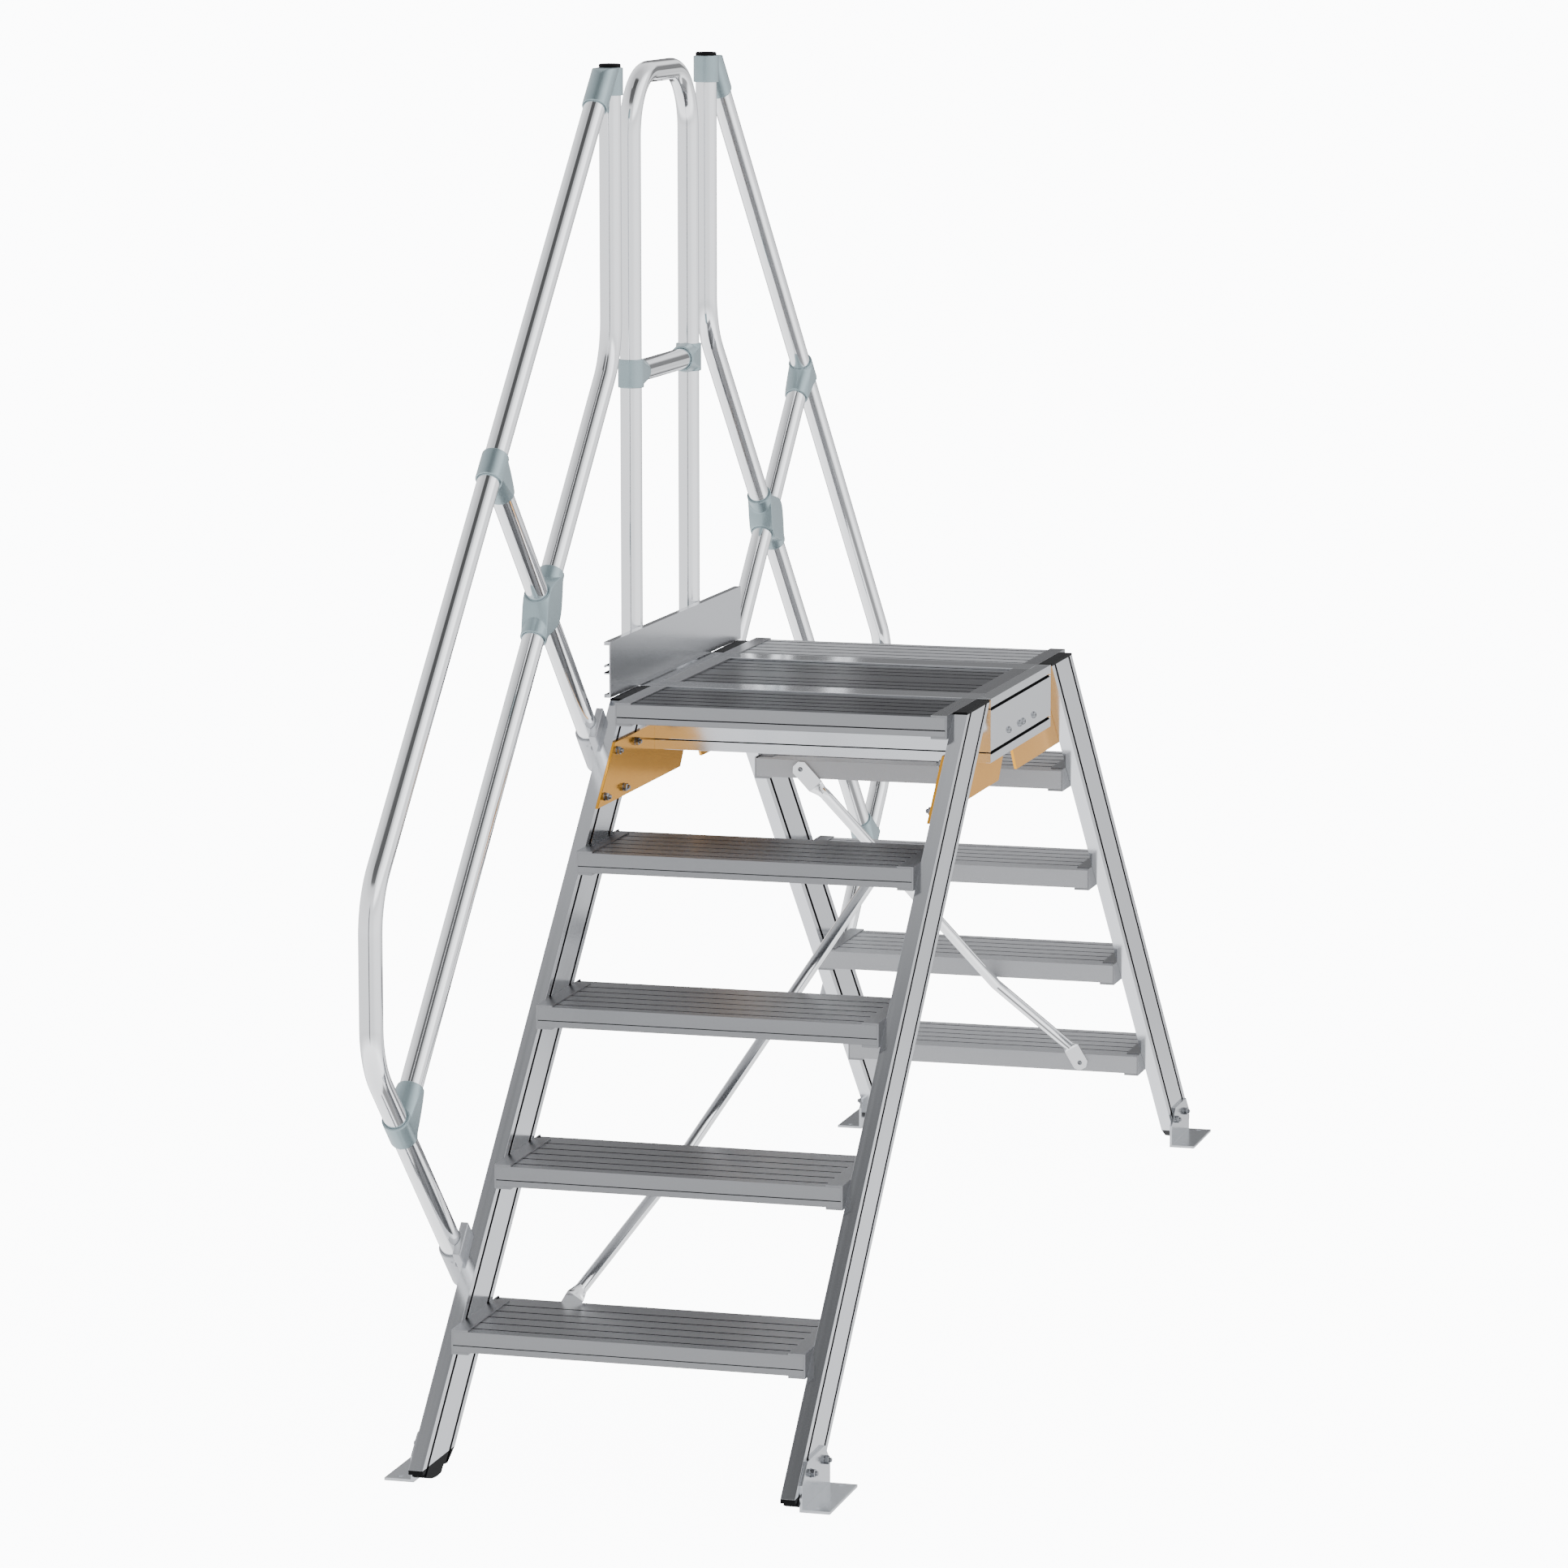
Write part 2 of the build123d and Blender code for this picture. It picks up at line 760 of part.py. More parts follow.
def socket_screw_seats(point, mouth, across):
    reach = socket_half - screw_head_diameter / 2 - socket_edge
    on_slot = shift(point, mouth, slot_offset)
    points = [shift(on_slot, across, side * reach) for side in (-1, 1)]
    return [seat_plane((-outer_x, *spot), (-1, 0, 0), (0, across[0], across[1])) for spot in points]


def socket(point, mouth, across, front):
    ends = ((-socket_tail, -1), (front, -1), (front, 1), (-socket_tail, 1))
    corners = [shift(shift(point, mouth, end), across, side * socket_half) for end, side in ends]
    body = side_plate(corners, -outer_x - socket_base, -outer_x)
    body += sleeve_rod(point, mouth, -socket_tail, profile_height / 2 - socket_mouth_drop, sleeve)
    for seat in socket_screw_seats(point, mouth, across):
        body -= neck_hole(seat, 0, socket_base, screw_diameter)
        body -= seat * round_head(socket_base, screw_head_diameter + 2 * bolt_play, socket_base, 0)
    return body - sleeve_rod(point, mouth, tube_seat - fit_gap, front, bore)


# Hoop with its bar, tees and sockets on the left side beam
hoop_foot = platform_height - profile_height / 2
hoop_bar_height = platform_height + hoop_bar


def hoop():
    low = hoop_foot + tube_seat
    high = platform_height + hoop_top
    return tube(
        [(-hoop_half_width, low), (-hoop_half_width, high), (hoop_half_width, high), (hoop_half_width, low)],
        hoop_bend,
    )


def hoop_middle_bar():
    reach = hoop_half_width - clear_of_tube
    return tube([(-reach, hoop_bar_height), (reach, hoop_bar_height)], 0)


# Toe board: plate with four lips towards the hoop, the middle pair a bolt channel
def toe_section():
    plate_x = rail_x + tube_radius + toe_seat + toe_reach
    low = platform_height + toe_rise
    section = Pos(plate_x - toe_wall / 2, low + toe_height / 2) * Rectangle(toe_wall, toe_height)
    lip_x = plate_x - toe_reach / 2
    middle = low + toe_height / 2
    channel_half = (toe_channel - toe_wall) / 2
    edge_half = (toe_height - toe_lip) / 2
    for side in (-1, 1):
        section += Pos(lip_x, middle + side * channel_half) * Rectangle(toe_reach, toe_wall)
        section += Pos(lip_x, middle + side * edge_half) * Rectangle(toe_reach, toe_lip)
    back = plate_x - toe_reach
    channel_mouth = Rectangle(toe_wall, toe_channel) - Rectangle(toe_wall, slot_gap)
    section += Pos(back + toe_wall / 2, middle) * channel_mouth
    return section, middle, back


toe_profile, toe_middle, toe_back = toe_section()


def toe_board():
    plane = Plane(origin=(0, toe_length / 2, 0), x_dir=(1, 0, 0), z_dir=(0, -1, 0))
    return extrude(plane * toe_profile, amount=toe_length)


# Strap round a hoop leg with feet on the toe board's channel
def toe_clamp(middle_y):
    outer = bore / 2 + clamp_wall
    back = toe_back - rail_x
    strap = Circle(outer) + Pos(back / 2, 0) * Rectangle(back, 2 * outer)
    strap += Pos(back - clamp_wall / 2, 0) * Rectangle(clamp_wall, 2 * (outer + clamp_foot))
    strap -= Circle(bore / 2) + Pos(back / 2, 0) * Rectangle(back, bore)
    strap -= Pos(back + outer / 2, 0) * Rectangle(outer, 2 * outer)
    plane = Plane.XY.offset(toe_middle - clamp_width / 2)
    clamp = extrude(plane * (Pos(rail_x, middle_y) * strap), amount=clamp_width)
    for seat in toe_bolt_seats(middle_y):
        clamp -= neck_hole(seat, 0, clamp_wall, bolt_diameter)
    return clamp


def toe_bolt_seats(middle_y):
    reach = bore / 2 + clamp_wall + clamp_foot / 2
    places = [(toe_back, middle_y + side * reach, toe_middle) for side in (-1, 1)]
    return [seat_plane(place, (-1, 0, 0), (0, 1, 0)) for place in places]


# Plug in the top of an upright tube
def plug():
    upright = (upright_y, crown_top)
    head = sleeve_rod(upright, (0, 1), 0, plug_height, tube_diameter)
    head = chamfer(head.edges().group_by(Axis.Z)[-1], plug_height / 4)
    return head + sleeve_rod(upright, (0, 1), -plug_stem, 0, tube_diameter - 2 * tube_wall - 2 * fit_gap)


# Left and right, front and rear
def both_sides(shape):
    return [shape, mirror(shape, about=Plane.YZ)]


def both_ends(shapes):
    return shapes + [turned(shape) for shape in shapes]


# Stringers, treads and their brackets
right_stringer, left_stringer = both_sides(stringer())
parts["front_right_stringer"] = right_stringer
parts["front_left_stringer"] = left_stringer
parts["rear_right_stringer"] = turned(left_stringer)
parts["rear_left_stringer"] = turned(right_stringer)
brackets = []
tread_bolts = []
for level in range(1, step_count + 1):
    board = tread(level)
    parts[f"front_tread_{level}"] = board
    parts[f"rear_tread_{level}"] = turned(board)
    brackets += both_sides(tread_bracket(level))
    for seat in tread_bolt_seats(level):
        tread_bolts += both_sides(hidden_bolt(seat, bracket_web))
parts["front_tread_brackets"] = brackets
parts["rear_tread_brackets"] = [turned(bracket) for bracket in brackets]
parts["tread_bolts"] = both_ends(tread_bolts)

# Stringer ends and floor anchors
parts["stringer_caps"] = both_ends(both_sides(cap()))
parts["stringer_feet"] = both_ends(both_sides(foot()))
right_anchor, left_anchor = both_sides(anchor())
parts["front_right_anchor"] = right_anchor
parts["front_left_anchor"] = left_anchor
parts["rear_right_anchor"] = turned(left_anchor)
parts["rear_left_anchor"] = turned(right_anchor)
anchor_bolts = []
for seat in anchor_bolt_seats():
    anchor_bolts += both_sides(slot_bolt(seat, profile_wall, slot_room_width, anchor_plate))
parts["anchor_bolts"] = both_ends(anchor_bolts)

# Platform
right_beam, left_beam = both_sides(side_beam())
parts["right_side_beam"] = right_beam
parts["left_side_beam"] = left_beam
parts["front_cross_beam"] = cross_beam()
parts["rear_cross_beam"] = turned(cross_beam())
parts["deck_planks"] = deck_planks()
parts["deck_channels"] = both_sides(deck_channel())

# Gussets and the bolts that hold them
front_gussets = both_sides(gusset())
parts["front_gussets"] = front_gussets
parts["rear_gussets"] = [turned(plate) for plate in front_gussets]
gusset_bolts = []
for seat in gusset_bolt_seats():
    gusset_bolts += both_sides(slot_bolt(seat, profile_wall, slot_room_width, gusset_plate))
for seat in beam_bolt_seats()[:2]:
    gusset_bolts += both_sides(through_bolt(seat, profile_width + gusset_plate))
parts["gusset_bolts"] = both_ends(gusset_bolts)

# Braces
front_brace = brace()
parts["front_brace"] = front_brace
parts["rear_brace"] = turned(front_brace)
brace_seats = [brace_seat(1, brace_foot_x), brace_seat(step_count - 1, brace_top_x)]
parts["brace_bolts"] = both_ends([brace_screw(seat) for seat in brace_seats])

# Rails on the left, the rear ones mirrored
front_rails = {
    "handrail": [handrail()],
    "knee_rail": [knee_rail()],
    "post": post_tubes(),
    "crown_fitting": [crown()],
    "handrail_tee": [tee(tee_point, along, tee_run, tee_root, reverse(away), tee_branch)],
    "cross_fitting": [cross()],
    "foot_tee": [tee(knee_start, away, foot_tee_run, foot_tee_root, along, foot_tee_branch)],
}
for name, pieces in front_rails.items():
    parts[f"front_{name}"] = pieces
    parts[f"rear_{name}"] = [other_flight(piece) for piece in pieces]
rail_sockets = []
rail_bolts = []
for point in (rail_foot, post_foot):
    rail_sockets.append(socket(point, away, along, profile_height / 2 + socket_front))
    rail_bolts += [slot_screw(seat, socket_base) for seat in socket_screw_seats(point, away, along)]
front_plug = plug()
parts["rail_sockets"] = rail_sockets + [other_flight(piece) for piece in rail_sockets]
parts["upright_plugs"] = [front_plug, other_flight(front_plug)]

# Hoop and toe board
upwards = (0, 1)
backwards = (1, 0)
toe_room = toe_channel - 2 * toe_wall
hoop_tees = []
hoop_sockets = []
toe_clamps = []
rail_bolts += [other_flight(bolt) for bolt in rail_bolts]
for side in (-1, 1):
    leg_y = side * hoop_half_width
    foot_point = (leg_y, hoop_foot)
    screw_seats = socket_screw_seats(foot_point, upwards, backwards)
    bar_end = (leg_y, hoop_bar_height)
    hoop_tees.append(tee(bar_end, upwards, hoop_tee_run, hoop_tee_root, (-side, 0), hoop_tee_branch))
    hoop_sockets.append(socket(foot_point, upwards, backwards, profile_height / 2))
    toe_clamps.append(toe_clamp(leg_y))
    rail_bolts += [slot_screw(seat, socket_base) for seat in screw_seats]
    rail_bolts += [slot_bolt(seat, toe_wall, toe_room, clamp_wall) for seat in toe_bolt_seats(leg_y)]
parts["hoop"] = hoop()
parts["hoop_bar"] = hoop_middle_bar()
parts["hoop_tees"] = hoop_tees
parts["hoop_sockets"] = hoop_sockets
parts["toe_board"] = toe_board()
parts["toe_board_clamps"] = toe_clamps
parts["rail_bolts"] = rail_bolts

for name, shape in parts.items():
    pieces = shape if isinstance(shape, list) else [shape]
    solids = [solid for piece in pieces for solid in piece.solids()]
    export_step(Compound(solids) if len(solids) > 1 else solids[0], f"parts/{name}.step")
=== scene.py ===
import bpy
import bmesh
import math
from mathutils import Matrix, Vector
from mathutils.bvhtree import BVHTree


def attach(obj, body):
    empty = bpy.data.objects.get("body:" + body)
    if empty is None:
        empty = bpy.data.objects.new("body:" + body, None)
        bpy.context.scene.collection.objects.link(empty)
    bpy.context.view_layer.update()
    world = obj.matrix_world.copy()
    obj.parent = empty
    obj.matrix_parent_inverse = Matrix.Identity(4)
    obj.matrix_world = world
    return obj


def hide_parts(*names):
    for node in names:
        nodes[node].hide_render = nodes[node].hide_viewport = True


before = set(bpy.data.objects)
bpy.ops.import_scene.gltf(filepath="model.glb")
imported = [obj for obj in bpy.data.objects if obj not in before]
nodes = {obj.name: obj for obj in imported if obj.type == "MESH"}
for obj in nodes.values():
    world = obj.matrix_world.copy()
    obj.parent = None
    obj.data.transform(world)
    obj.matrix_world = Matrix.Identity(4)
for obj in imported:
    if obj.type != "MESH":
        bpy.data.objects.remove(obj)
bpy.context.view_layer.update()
mm = 0.001
print("frame loaded:", len(nodes), "nodes")


# one node of a shader or geometry tree: constants and links by socket, settings by name
def addNode(tree, kind, sockets=(), **settings):
    node = tree.nodes.new(kind)
    for name, value in settings.items():
        setattr(node, name, value)
    for socket, value in sockets:
        if isinstance(value, bpy.types.NodeSocket):
            tree.links.new(value, node.inputs[socket])
        else:
            node.inputs[socket].default_value = value
    return node


def addMath(tree, operation, first, second):
    node = addNode(tree, "ShaderNodeMath", [(0, first), (1, second)], operation=operation)
    return node.outputs["Value"]


def times(tree, value, factor):
    return addMath(tree, "MULTIPLY", value, factor)


def plus(tree, value, other):
    return addMath(tree, "ADD", value, other)


def mapRange(tree, value, given=(0.0, 1.0), wanted=(0.0, 1.0), **settings):
    sockets = [
        ("Value", value), ("From Min", given[0]), ("From Max", given[1]),
        ("To Min", wanted[0]), ("To Max", wanted[1]),
    ]
    return addNode(tree, "ShaderNodeMapRange", sockets, **settings).outputs["Result"]


def linear(hexColour):
    channels = []
    for start in (0, 2, 4):
        value = int(hexColour[start:start + 2], 16) / 255
        channels.append(value / 12.92 if value <= 0.04045 else ((value + 0.055) / 1.055) ** 2.4)
    return (*channels, 1.0)


def addToScene(thing):
    bpy.context.scene.collection.objects.link(thing)
    return thing


# camera where the photographer stood
photoView = {
    "place": (2.8879, -10.6176, 2.7056),
    "turn": (1.716206, 0.238191, -0.203946),  # rotation vector from the room to the lens
    "focal": 7376.6,  # in pixels
    "pixels": 1932,
    "sensor": 36.0,
    "reach": 600.0,
}


def setCamera():
    turn = Vector(photoView["turn"])
    look = Matrix.Rotation(turn.length, 3, turn.normalized())
    axes = Matrix((look[0], -look[1], -look[2])).transposed()
    lens = bpy.data.cameras.new("photoCamera")
    lens.sensor_width = photoView["sensor"]
    lens.lens = photoView["focal"] * photoView["sensor"] / photoView["pixels"]
    lens.clip_end = photoView["reach"]
    camera = addToScene(bpy.data.objects.new("photoCamera", lens))
    camera.matrix_world = Matrix.Translation(photoView["place"]) @ axes.to_4x4()
    bpy.context.scene.camera = camera


# pale floor that runs into a pale backdrop; it glows a little, so the shadow on it stays soft
floorLook = {"colour": "f2f3f4", "size": 800.0, "drop": 0.5, "glow": 12.0, "backdrop": 13.0}


def makeFloor():
    paint = bpy.data.materials.new("paleFloor")
    paint.use_nodes = True
    shader = paint.node_tree.nodes["Principled BSDF"]
    shader.inputs["Base Color"].default_value = linear(floorLook["colour"])
    shader.inputs["Roughness"].default_value = 1.0
    shader.inputs["Specular IOR Level"].default_value = 0.0
    shader.inputs["Emission Color"].default_value = linear(floorLook["colour"])
    shader.inputs["Emission Strength"].default_value = floorLook["glow"]
    half = floorLook["size"] / 2
    low = -floorLook["drop"] * mm
    corners = [(-half, -half, low), (half, -half, low), (half, half, low), (-half, half, low)]
    mesh = bpy.data.meshes.new("floor")
    mesh.from_pydata(corners, [], [(0, 1, 2, 3)])
    mesh.materials.append(paint)
    floor = addToScene(bpy.data.objects.new("floor", mesh))
    floor.visible_glossy = False  # the metal mirrors the studio below instead
    floor.visible_diffuse = False


# what the metal mirrors: (height of the direction, brightness) from straight down to straight up, and
# zones that are brighter or darker; a limit is an axis with where a zone starts and where it is full
studio = {
    "tint": "fbfcff",
    "heights": [
        (-1.0, 2.0), (-0.5, 2.4), (-0.34, 1.5), (-0.26, 1.3), (-0.205, 1.4), (-0.14, 1.5),
        (-0.035, 1.55), (0.5, 1.4), (0.8, 1.0), (0.9, 0.8), (1.0, 0.8),
    ],
    "zones": {
        "lowBehind": {
            "gain": 0.68,
            "limits": [("Y", 0.8, 0.93), ("Z", -0.22, -0.19), ("Z", 0.08, 0.03)],
        },
        "straightBehind": {
            "gain": 0.12,
            "limits": [("X", -0.73, -0.55), ("X", 0.23, 0.05), ("Y", 0.75, 0.88), ("Z", 0.05, -0.02)],
        },
        "darkBand": {
            "gain": 0.17,
            "limits": [
                ("X", -0.4, -0.3), ("X", 0.0, -0.14), ("Y", 0.4, 0.6), ("Z", -0.05, 0.03), ("Z", 0.6, 0.42),
            ],
        },
        "darkSide": {
            "gain": 0.18,
            "limits": [
                ("X", 0.08, 0.2), ("X", 0.55, 0.4), ("Y", 0.4, 0.6), ("Z", -0.02, 0.05), ("Z", 0.3, 0.2),
            ],
        },
        "ceilingFlag": {
            "gain": 0.18,
            "limits": [("X", -0.35, -0.31), ("X", 0.36, 0.28), ("Y", -0.16, -0.2), ("Z", 0.7, 0.8)],
        },
        "ceilingStrip": {
            "gain": 0.14,
            "limits": [
                ("X", -0.22, -0.16), ("X", 0.34, 0.26), ("Y", -0.22, -0.17), ("Y", 0.2, 0.1), ("Z", 0.7, 0.8),
            ],
        },
        "floorShade": {
            "gain": 0.2,
            "limits": [("X", 0.16, 0.28), ("X", 0.68, 0.5), ("Y", 0.0, 0.12), ("Z", -0.42, -0.56)],
        },
        "lensGap": {
            "gain": 0.15,
            "limits": [("X", -0.01, 0.03), ("X", 0.17, 0.13), ("Y", -0.85, -0.95)],
        },
        "sideGlow": {"gain": 1.2, "limits": [("X", 0.6, 0.95), ("Y", 0.6, 0.3), ("Z", 0.3, 0.1)]},
        "softBox": {"gain": 2.1, "limits": [("X", 0.4, 0.65), ("Z", 0.3, 0.5)]},
    },
}


def makeStudio():
    world = bpy.data.worlds.new("studio")
    bpy.context.scene.world = world
    world.use_nodes = True
    tree = world.node_tree
    tree.nodes.clear()
    direction = addNode(tree, "ShaderNodeTexCoord").outputs["Generated"]
    parts = addNode(tree, "ShaderNodeSeparateXYZ", [("Vector", direction)]).outputs
    ramp = addNode(tree, "ShaderNodeValToRGB", [("Fac", mapRange(tree, parts["Z"], (-1.0, 1.0)))])
    steps = ramp.color_ramp.elements
    for number, (place, glow) in enumerate(studio["heights"]):
        step = steps[number] if number < len(steps) else steps.new(1.0)
        step.position = (place + 1) / 2
        step.color = (glow, glow, glow, 1.0)
    level = ramp.outputs["Color"]
    for zone in studio["zones"].values():
        share = 1.0
        for axis, start, full in zone["limits"]:
            edge = mapRange(tree, parts[axis], (start, full), interpolation_type="SMOOTHSTEP")
            share = times(tree, share, edge)
        level = times(tree, level, mapRange(tree, share, wanted=(1.0, zone["gain"])))
    mirrored = addNode(
        tree, "ShaderNodeBackground", [("Color", linear(studio["tint"])), ("Strength", level)]
    )
    backdrop = addNode(tree, "ShaderNodeBackground", [
        ("Color", linear(floorLook["colour"])), ("Strength", floorLook["backdrop"]),
    ])
    seen = addNode(tree, "ShaderNodeLightPath").outputs["Is Camera Ray"]
    mix = addNode(tree, "ShaderNodeMixShader", [
        (0, seen), (1, mirrored.outputs["Background"]), (2, backdrop.outputs["Background"]),
    ])
    addNode(tree, "ShaderNodeOutputWorld", [("Surface", mix.outputs["Shader"])])


setCamera()
makeFloor()
makeStudio()
print("camera, floor and studio set")


# a finish with the first of its tones and the low end of its roughness, and the place for its noise
def newFinish(name, look):
    finish = bpy.data.materials.new(name)
    finish.use_nodes = True
    tree = finish.node_tree
    shader = tree.nodes["Principled BSDF"]
    shader.inputs["Base Color"].default_value = linear(look["tones"][0])
    shader.inputs["Metallic"].default_value = look["metal"]
    shader.inputs["Roughness"].default_value = look["rough"][0]
    place = addNode(tree, "ShaderNodeTexCoord").outputs["Object"]
    return finish, tree, shader, place


def addNoise(tree, place, size, detail=2.0):
    sockets = [("Vector", place), ("Scale", 1 / (size * mm)), ("Detail", detail)]
    return addNode(tree, "ShaderNodeTexNoise", sockets).outputs["Fac"]


def addTone(tree, shader, factor, tones):
    low, high = tones
    sockets = [("Factor", factor), ("A", linear(low)), ("B", linear(high))]
    tone = addNode(tree, "ShaderNodeMix", sockets, data_type="RGBA")
    tree.links.new(tone.outputs["Result"], shader.inputs["Base Color"])


def addRoughness(tree, shader, factor, rough, given=(0.0, 1.0)):
    tree.links.new(mapRange(tree, factor, given, rough), shader.inputs["Roughness"])


bumpHeight = 0.1


def addBump(tree, shader, height, strength):
    sockets = [("Height", height), ("Strength", strength), ("Distance", bumpHeight * mm)]
    bump = addNode(tree, "ShaderNodeBump", sockets)
    tree.links.new(bump.outputs["Normal"], shader.inputs["Normal"])


# lines that the die leaves along an extrusion: noise stretched along the way it was drawn
dieNoise = {"detail": 2.0, "roughness": 0.6, "range": (0.25, 0.75)}


def addDieLines(tree, shader, place, turn, lines):
    scale = 1 / (lines["spacing"] * mm)
    turned = addNode(tree, "ShaderNodeMapping", [("Vector", place), ("Rotation", turn)])
    stretched = addNode(tree, "ShaderNodeMapping", [
        ("Vector", turned.outputs["Vector"]), ("Scale", (scale, scale * lines["stretch"], scale)),
    ])
    noise = addNode(tree, "ShaderNodeTexNoise", [
        ("Vector", stretched.outputs["Vector"]), ("Scale", 1.0), ("Detail", dieNoise["detail"]),
        ("Roughness", dieNoise["roughness"]),
    ]).outputs["Fac"]
    addRoughness(tree, shader, noise, lines["rough"], dieNoise["range"])
    addBump(tree, shader, noise, lines["depth"])
    return noise


# extruded aluminium, polished and clear anodised: clear mirror images, blurred a little along die lines
polished = {
    "tones": ("d6d8db", "dddfe2"), "metal": 1.0, "rough": (0.12, 0.16),
    "spacing": 12.0, "stretch": 0.004, "depth": 0.002,
}


def polishedAluminium(name, turn):
    finish, tree, shader, place = newFinish(name, polished)
    noise = addDieLines(tree, shader, place, turn, polished)
    addTone(tree, shader, noise, polished["tones"])
    return finish


# rolled aluminium plate, blasted before anodising: pale, with a soft sheen
blasted = {
    "tones": ("cdd0d4", "d5d8db"), "metal": 0.95, "rough": (0.16, 0.22), "grain": 1.5, "cloud": 40.0,
}


def blastedPlate(name):
    finish, tree, shader, place = newFinish(name, blasted)
    addRoughness(tree, shader, addNoise(tree, place, blasted["grain"]), blasted["rough"])
    addTone(tree, shader, addNoise(tree, place, blasted["cloud"]), blasted["tones"])
    return finish


# extruded plank or channel, mill finish: satin grey that streaks the light along its die lines
mill = {"spread": 0.015, "spacing": 30.0, "stretch": 0.02, "depth": 0.0005}


def millAluminium(name, turn, tones, rough, metal=1.0, grazing="ffffff"):
    spread = (rough - mill["spread"], rough + mill["spread"])
    look = {**mill, "tones": tones, "metal": metal, "rough": spread}
    finish, tree, shader, place = newFinish(name, look)
    shader.inputs["Specular Tint"].default_value = linear(grazing)
    noise = addDieLines(tree, shader, place, turn, look)
    addTone(tree, shader, noise, tones)
    return finish


# drawn aluminium tube, bright anodised: strong clear reflections with a slight orange peel
drawn = {
    "tones": ["f4f5f6"], "metal": 1.0, "rough": (0.06, 0.1), "peel": 16.0, "detail": 3.0, "depth": 0.001,
}


def anodisedTube(name):
    finish, tree, shader, place = newFinish(name, drawn)
    peel = addNoise(tree, place, drawn["peel"], drawn["detail"])
    addRoughness(tree, shader, peel, drawn["rough"])
    addBump(tree, shader, peel, drawn["depth"])
    return finish


# die-cast fitting in metallic paint: even broad sheen over a fine grain
coated = {"metal": 0.75, "rough": [0.34], "grain": 1.2, "detail": 3.0, "depth": 0.05, "cloud": 35.0}


def coatedCasting(name, tones):
    finish, tree, shader, place = newFinish(name, {**coated, "tones": tones})
    addTone(tree, shader, addNoise(tree, place, coated["cloud"]), tones)
    grain = addNoise(tree, place, coated["grain"], coated["detail"])
    addBump(tree, shader, grain, coated["depth"])
    return finish


# steel plate under a clear orange lacquer: the bright metal shines through the colour
lacquer = {
    "tones": ("efa62c", "f3ae38"), "metal": 0.75, "rough": [0.16], "cloud": 60.0, "grazing": "ffeccc",
}


def orangeLacquer(name):
    finish, tree, shader, place = newFinish(name, lacquer)
    addTone(tree, shader, addNoise(tree, place, lacquer["cloud"]), lacquer["tones"])
    shader.inputs["Specular Tint"].default_value = linear(lacquer["grazing"])
    return finish


# moulded black polyamide: dull, with the fine grain of a spark-eroded mould
moulded = {
    "tones": ["0f0f10"], "metal": 0.0, "rough": (0.5, 0.66), "sheen": 0.08, "grain": 0.8, "depth": 0.1,
}


def blackPolyamide(name):
    finish, tree, shader, place = newFinish(name, moulded)
    shader.inputs["Specular IOR Level"].default_value = moulded["sheen"]
    grain = addNoise(tree, place, moulded["grain"])
    addRoughness(tree, shader, grain, moulded["rough"])
    addBump(tree, shader, grain, moulded["depth"])
    return finish


# zinc-plated steel fastener: bright, with slightly cloudy plating
plated = {"tones": ["85878a"], "metal": 1.0, "rough": (0.16, 0.28), "cloud": 4.0, "detail": 3.0}


def zincSteel(name):
    finish, tree, shader, place = newFinish(name, plated)
    addRoughness(tree, shader, addNoise(tree, place, plated["cloud"], plated["detail"]), plated["rough"])
    return finish


# inside of slots, grooves and hollows: dull and near-black, painted shade standing in for the light that
# falls off in recesses
insideShade = {"tones": ("0e0e10", "18181a"), "metal": 0.0, "rough": (0.75, 0.9), "sheen": 0.1, "cloud": 8.0}


def shadeInsideFinish(name):
    finish, tree, shader, place = newFinish(name, insideShade)
    shader.inputs["Specular IOR Level"].default_value = insideShade["sheen"]
    cloud = addNoise(tree, place, insideShade["cloud"])
    addRoughness(tree, shader, cloud, insideShade["rough"])
    addTone(tree, shader, cloud, insideShade["tones"])
    return finish


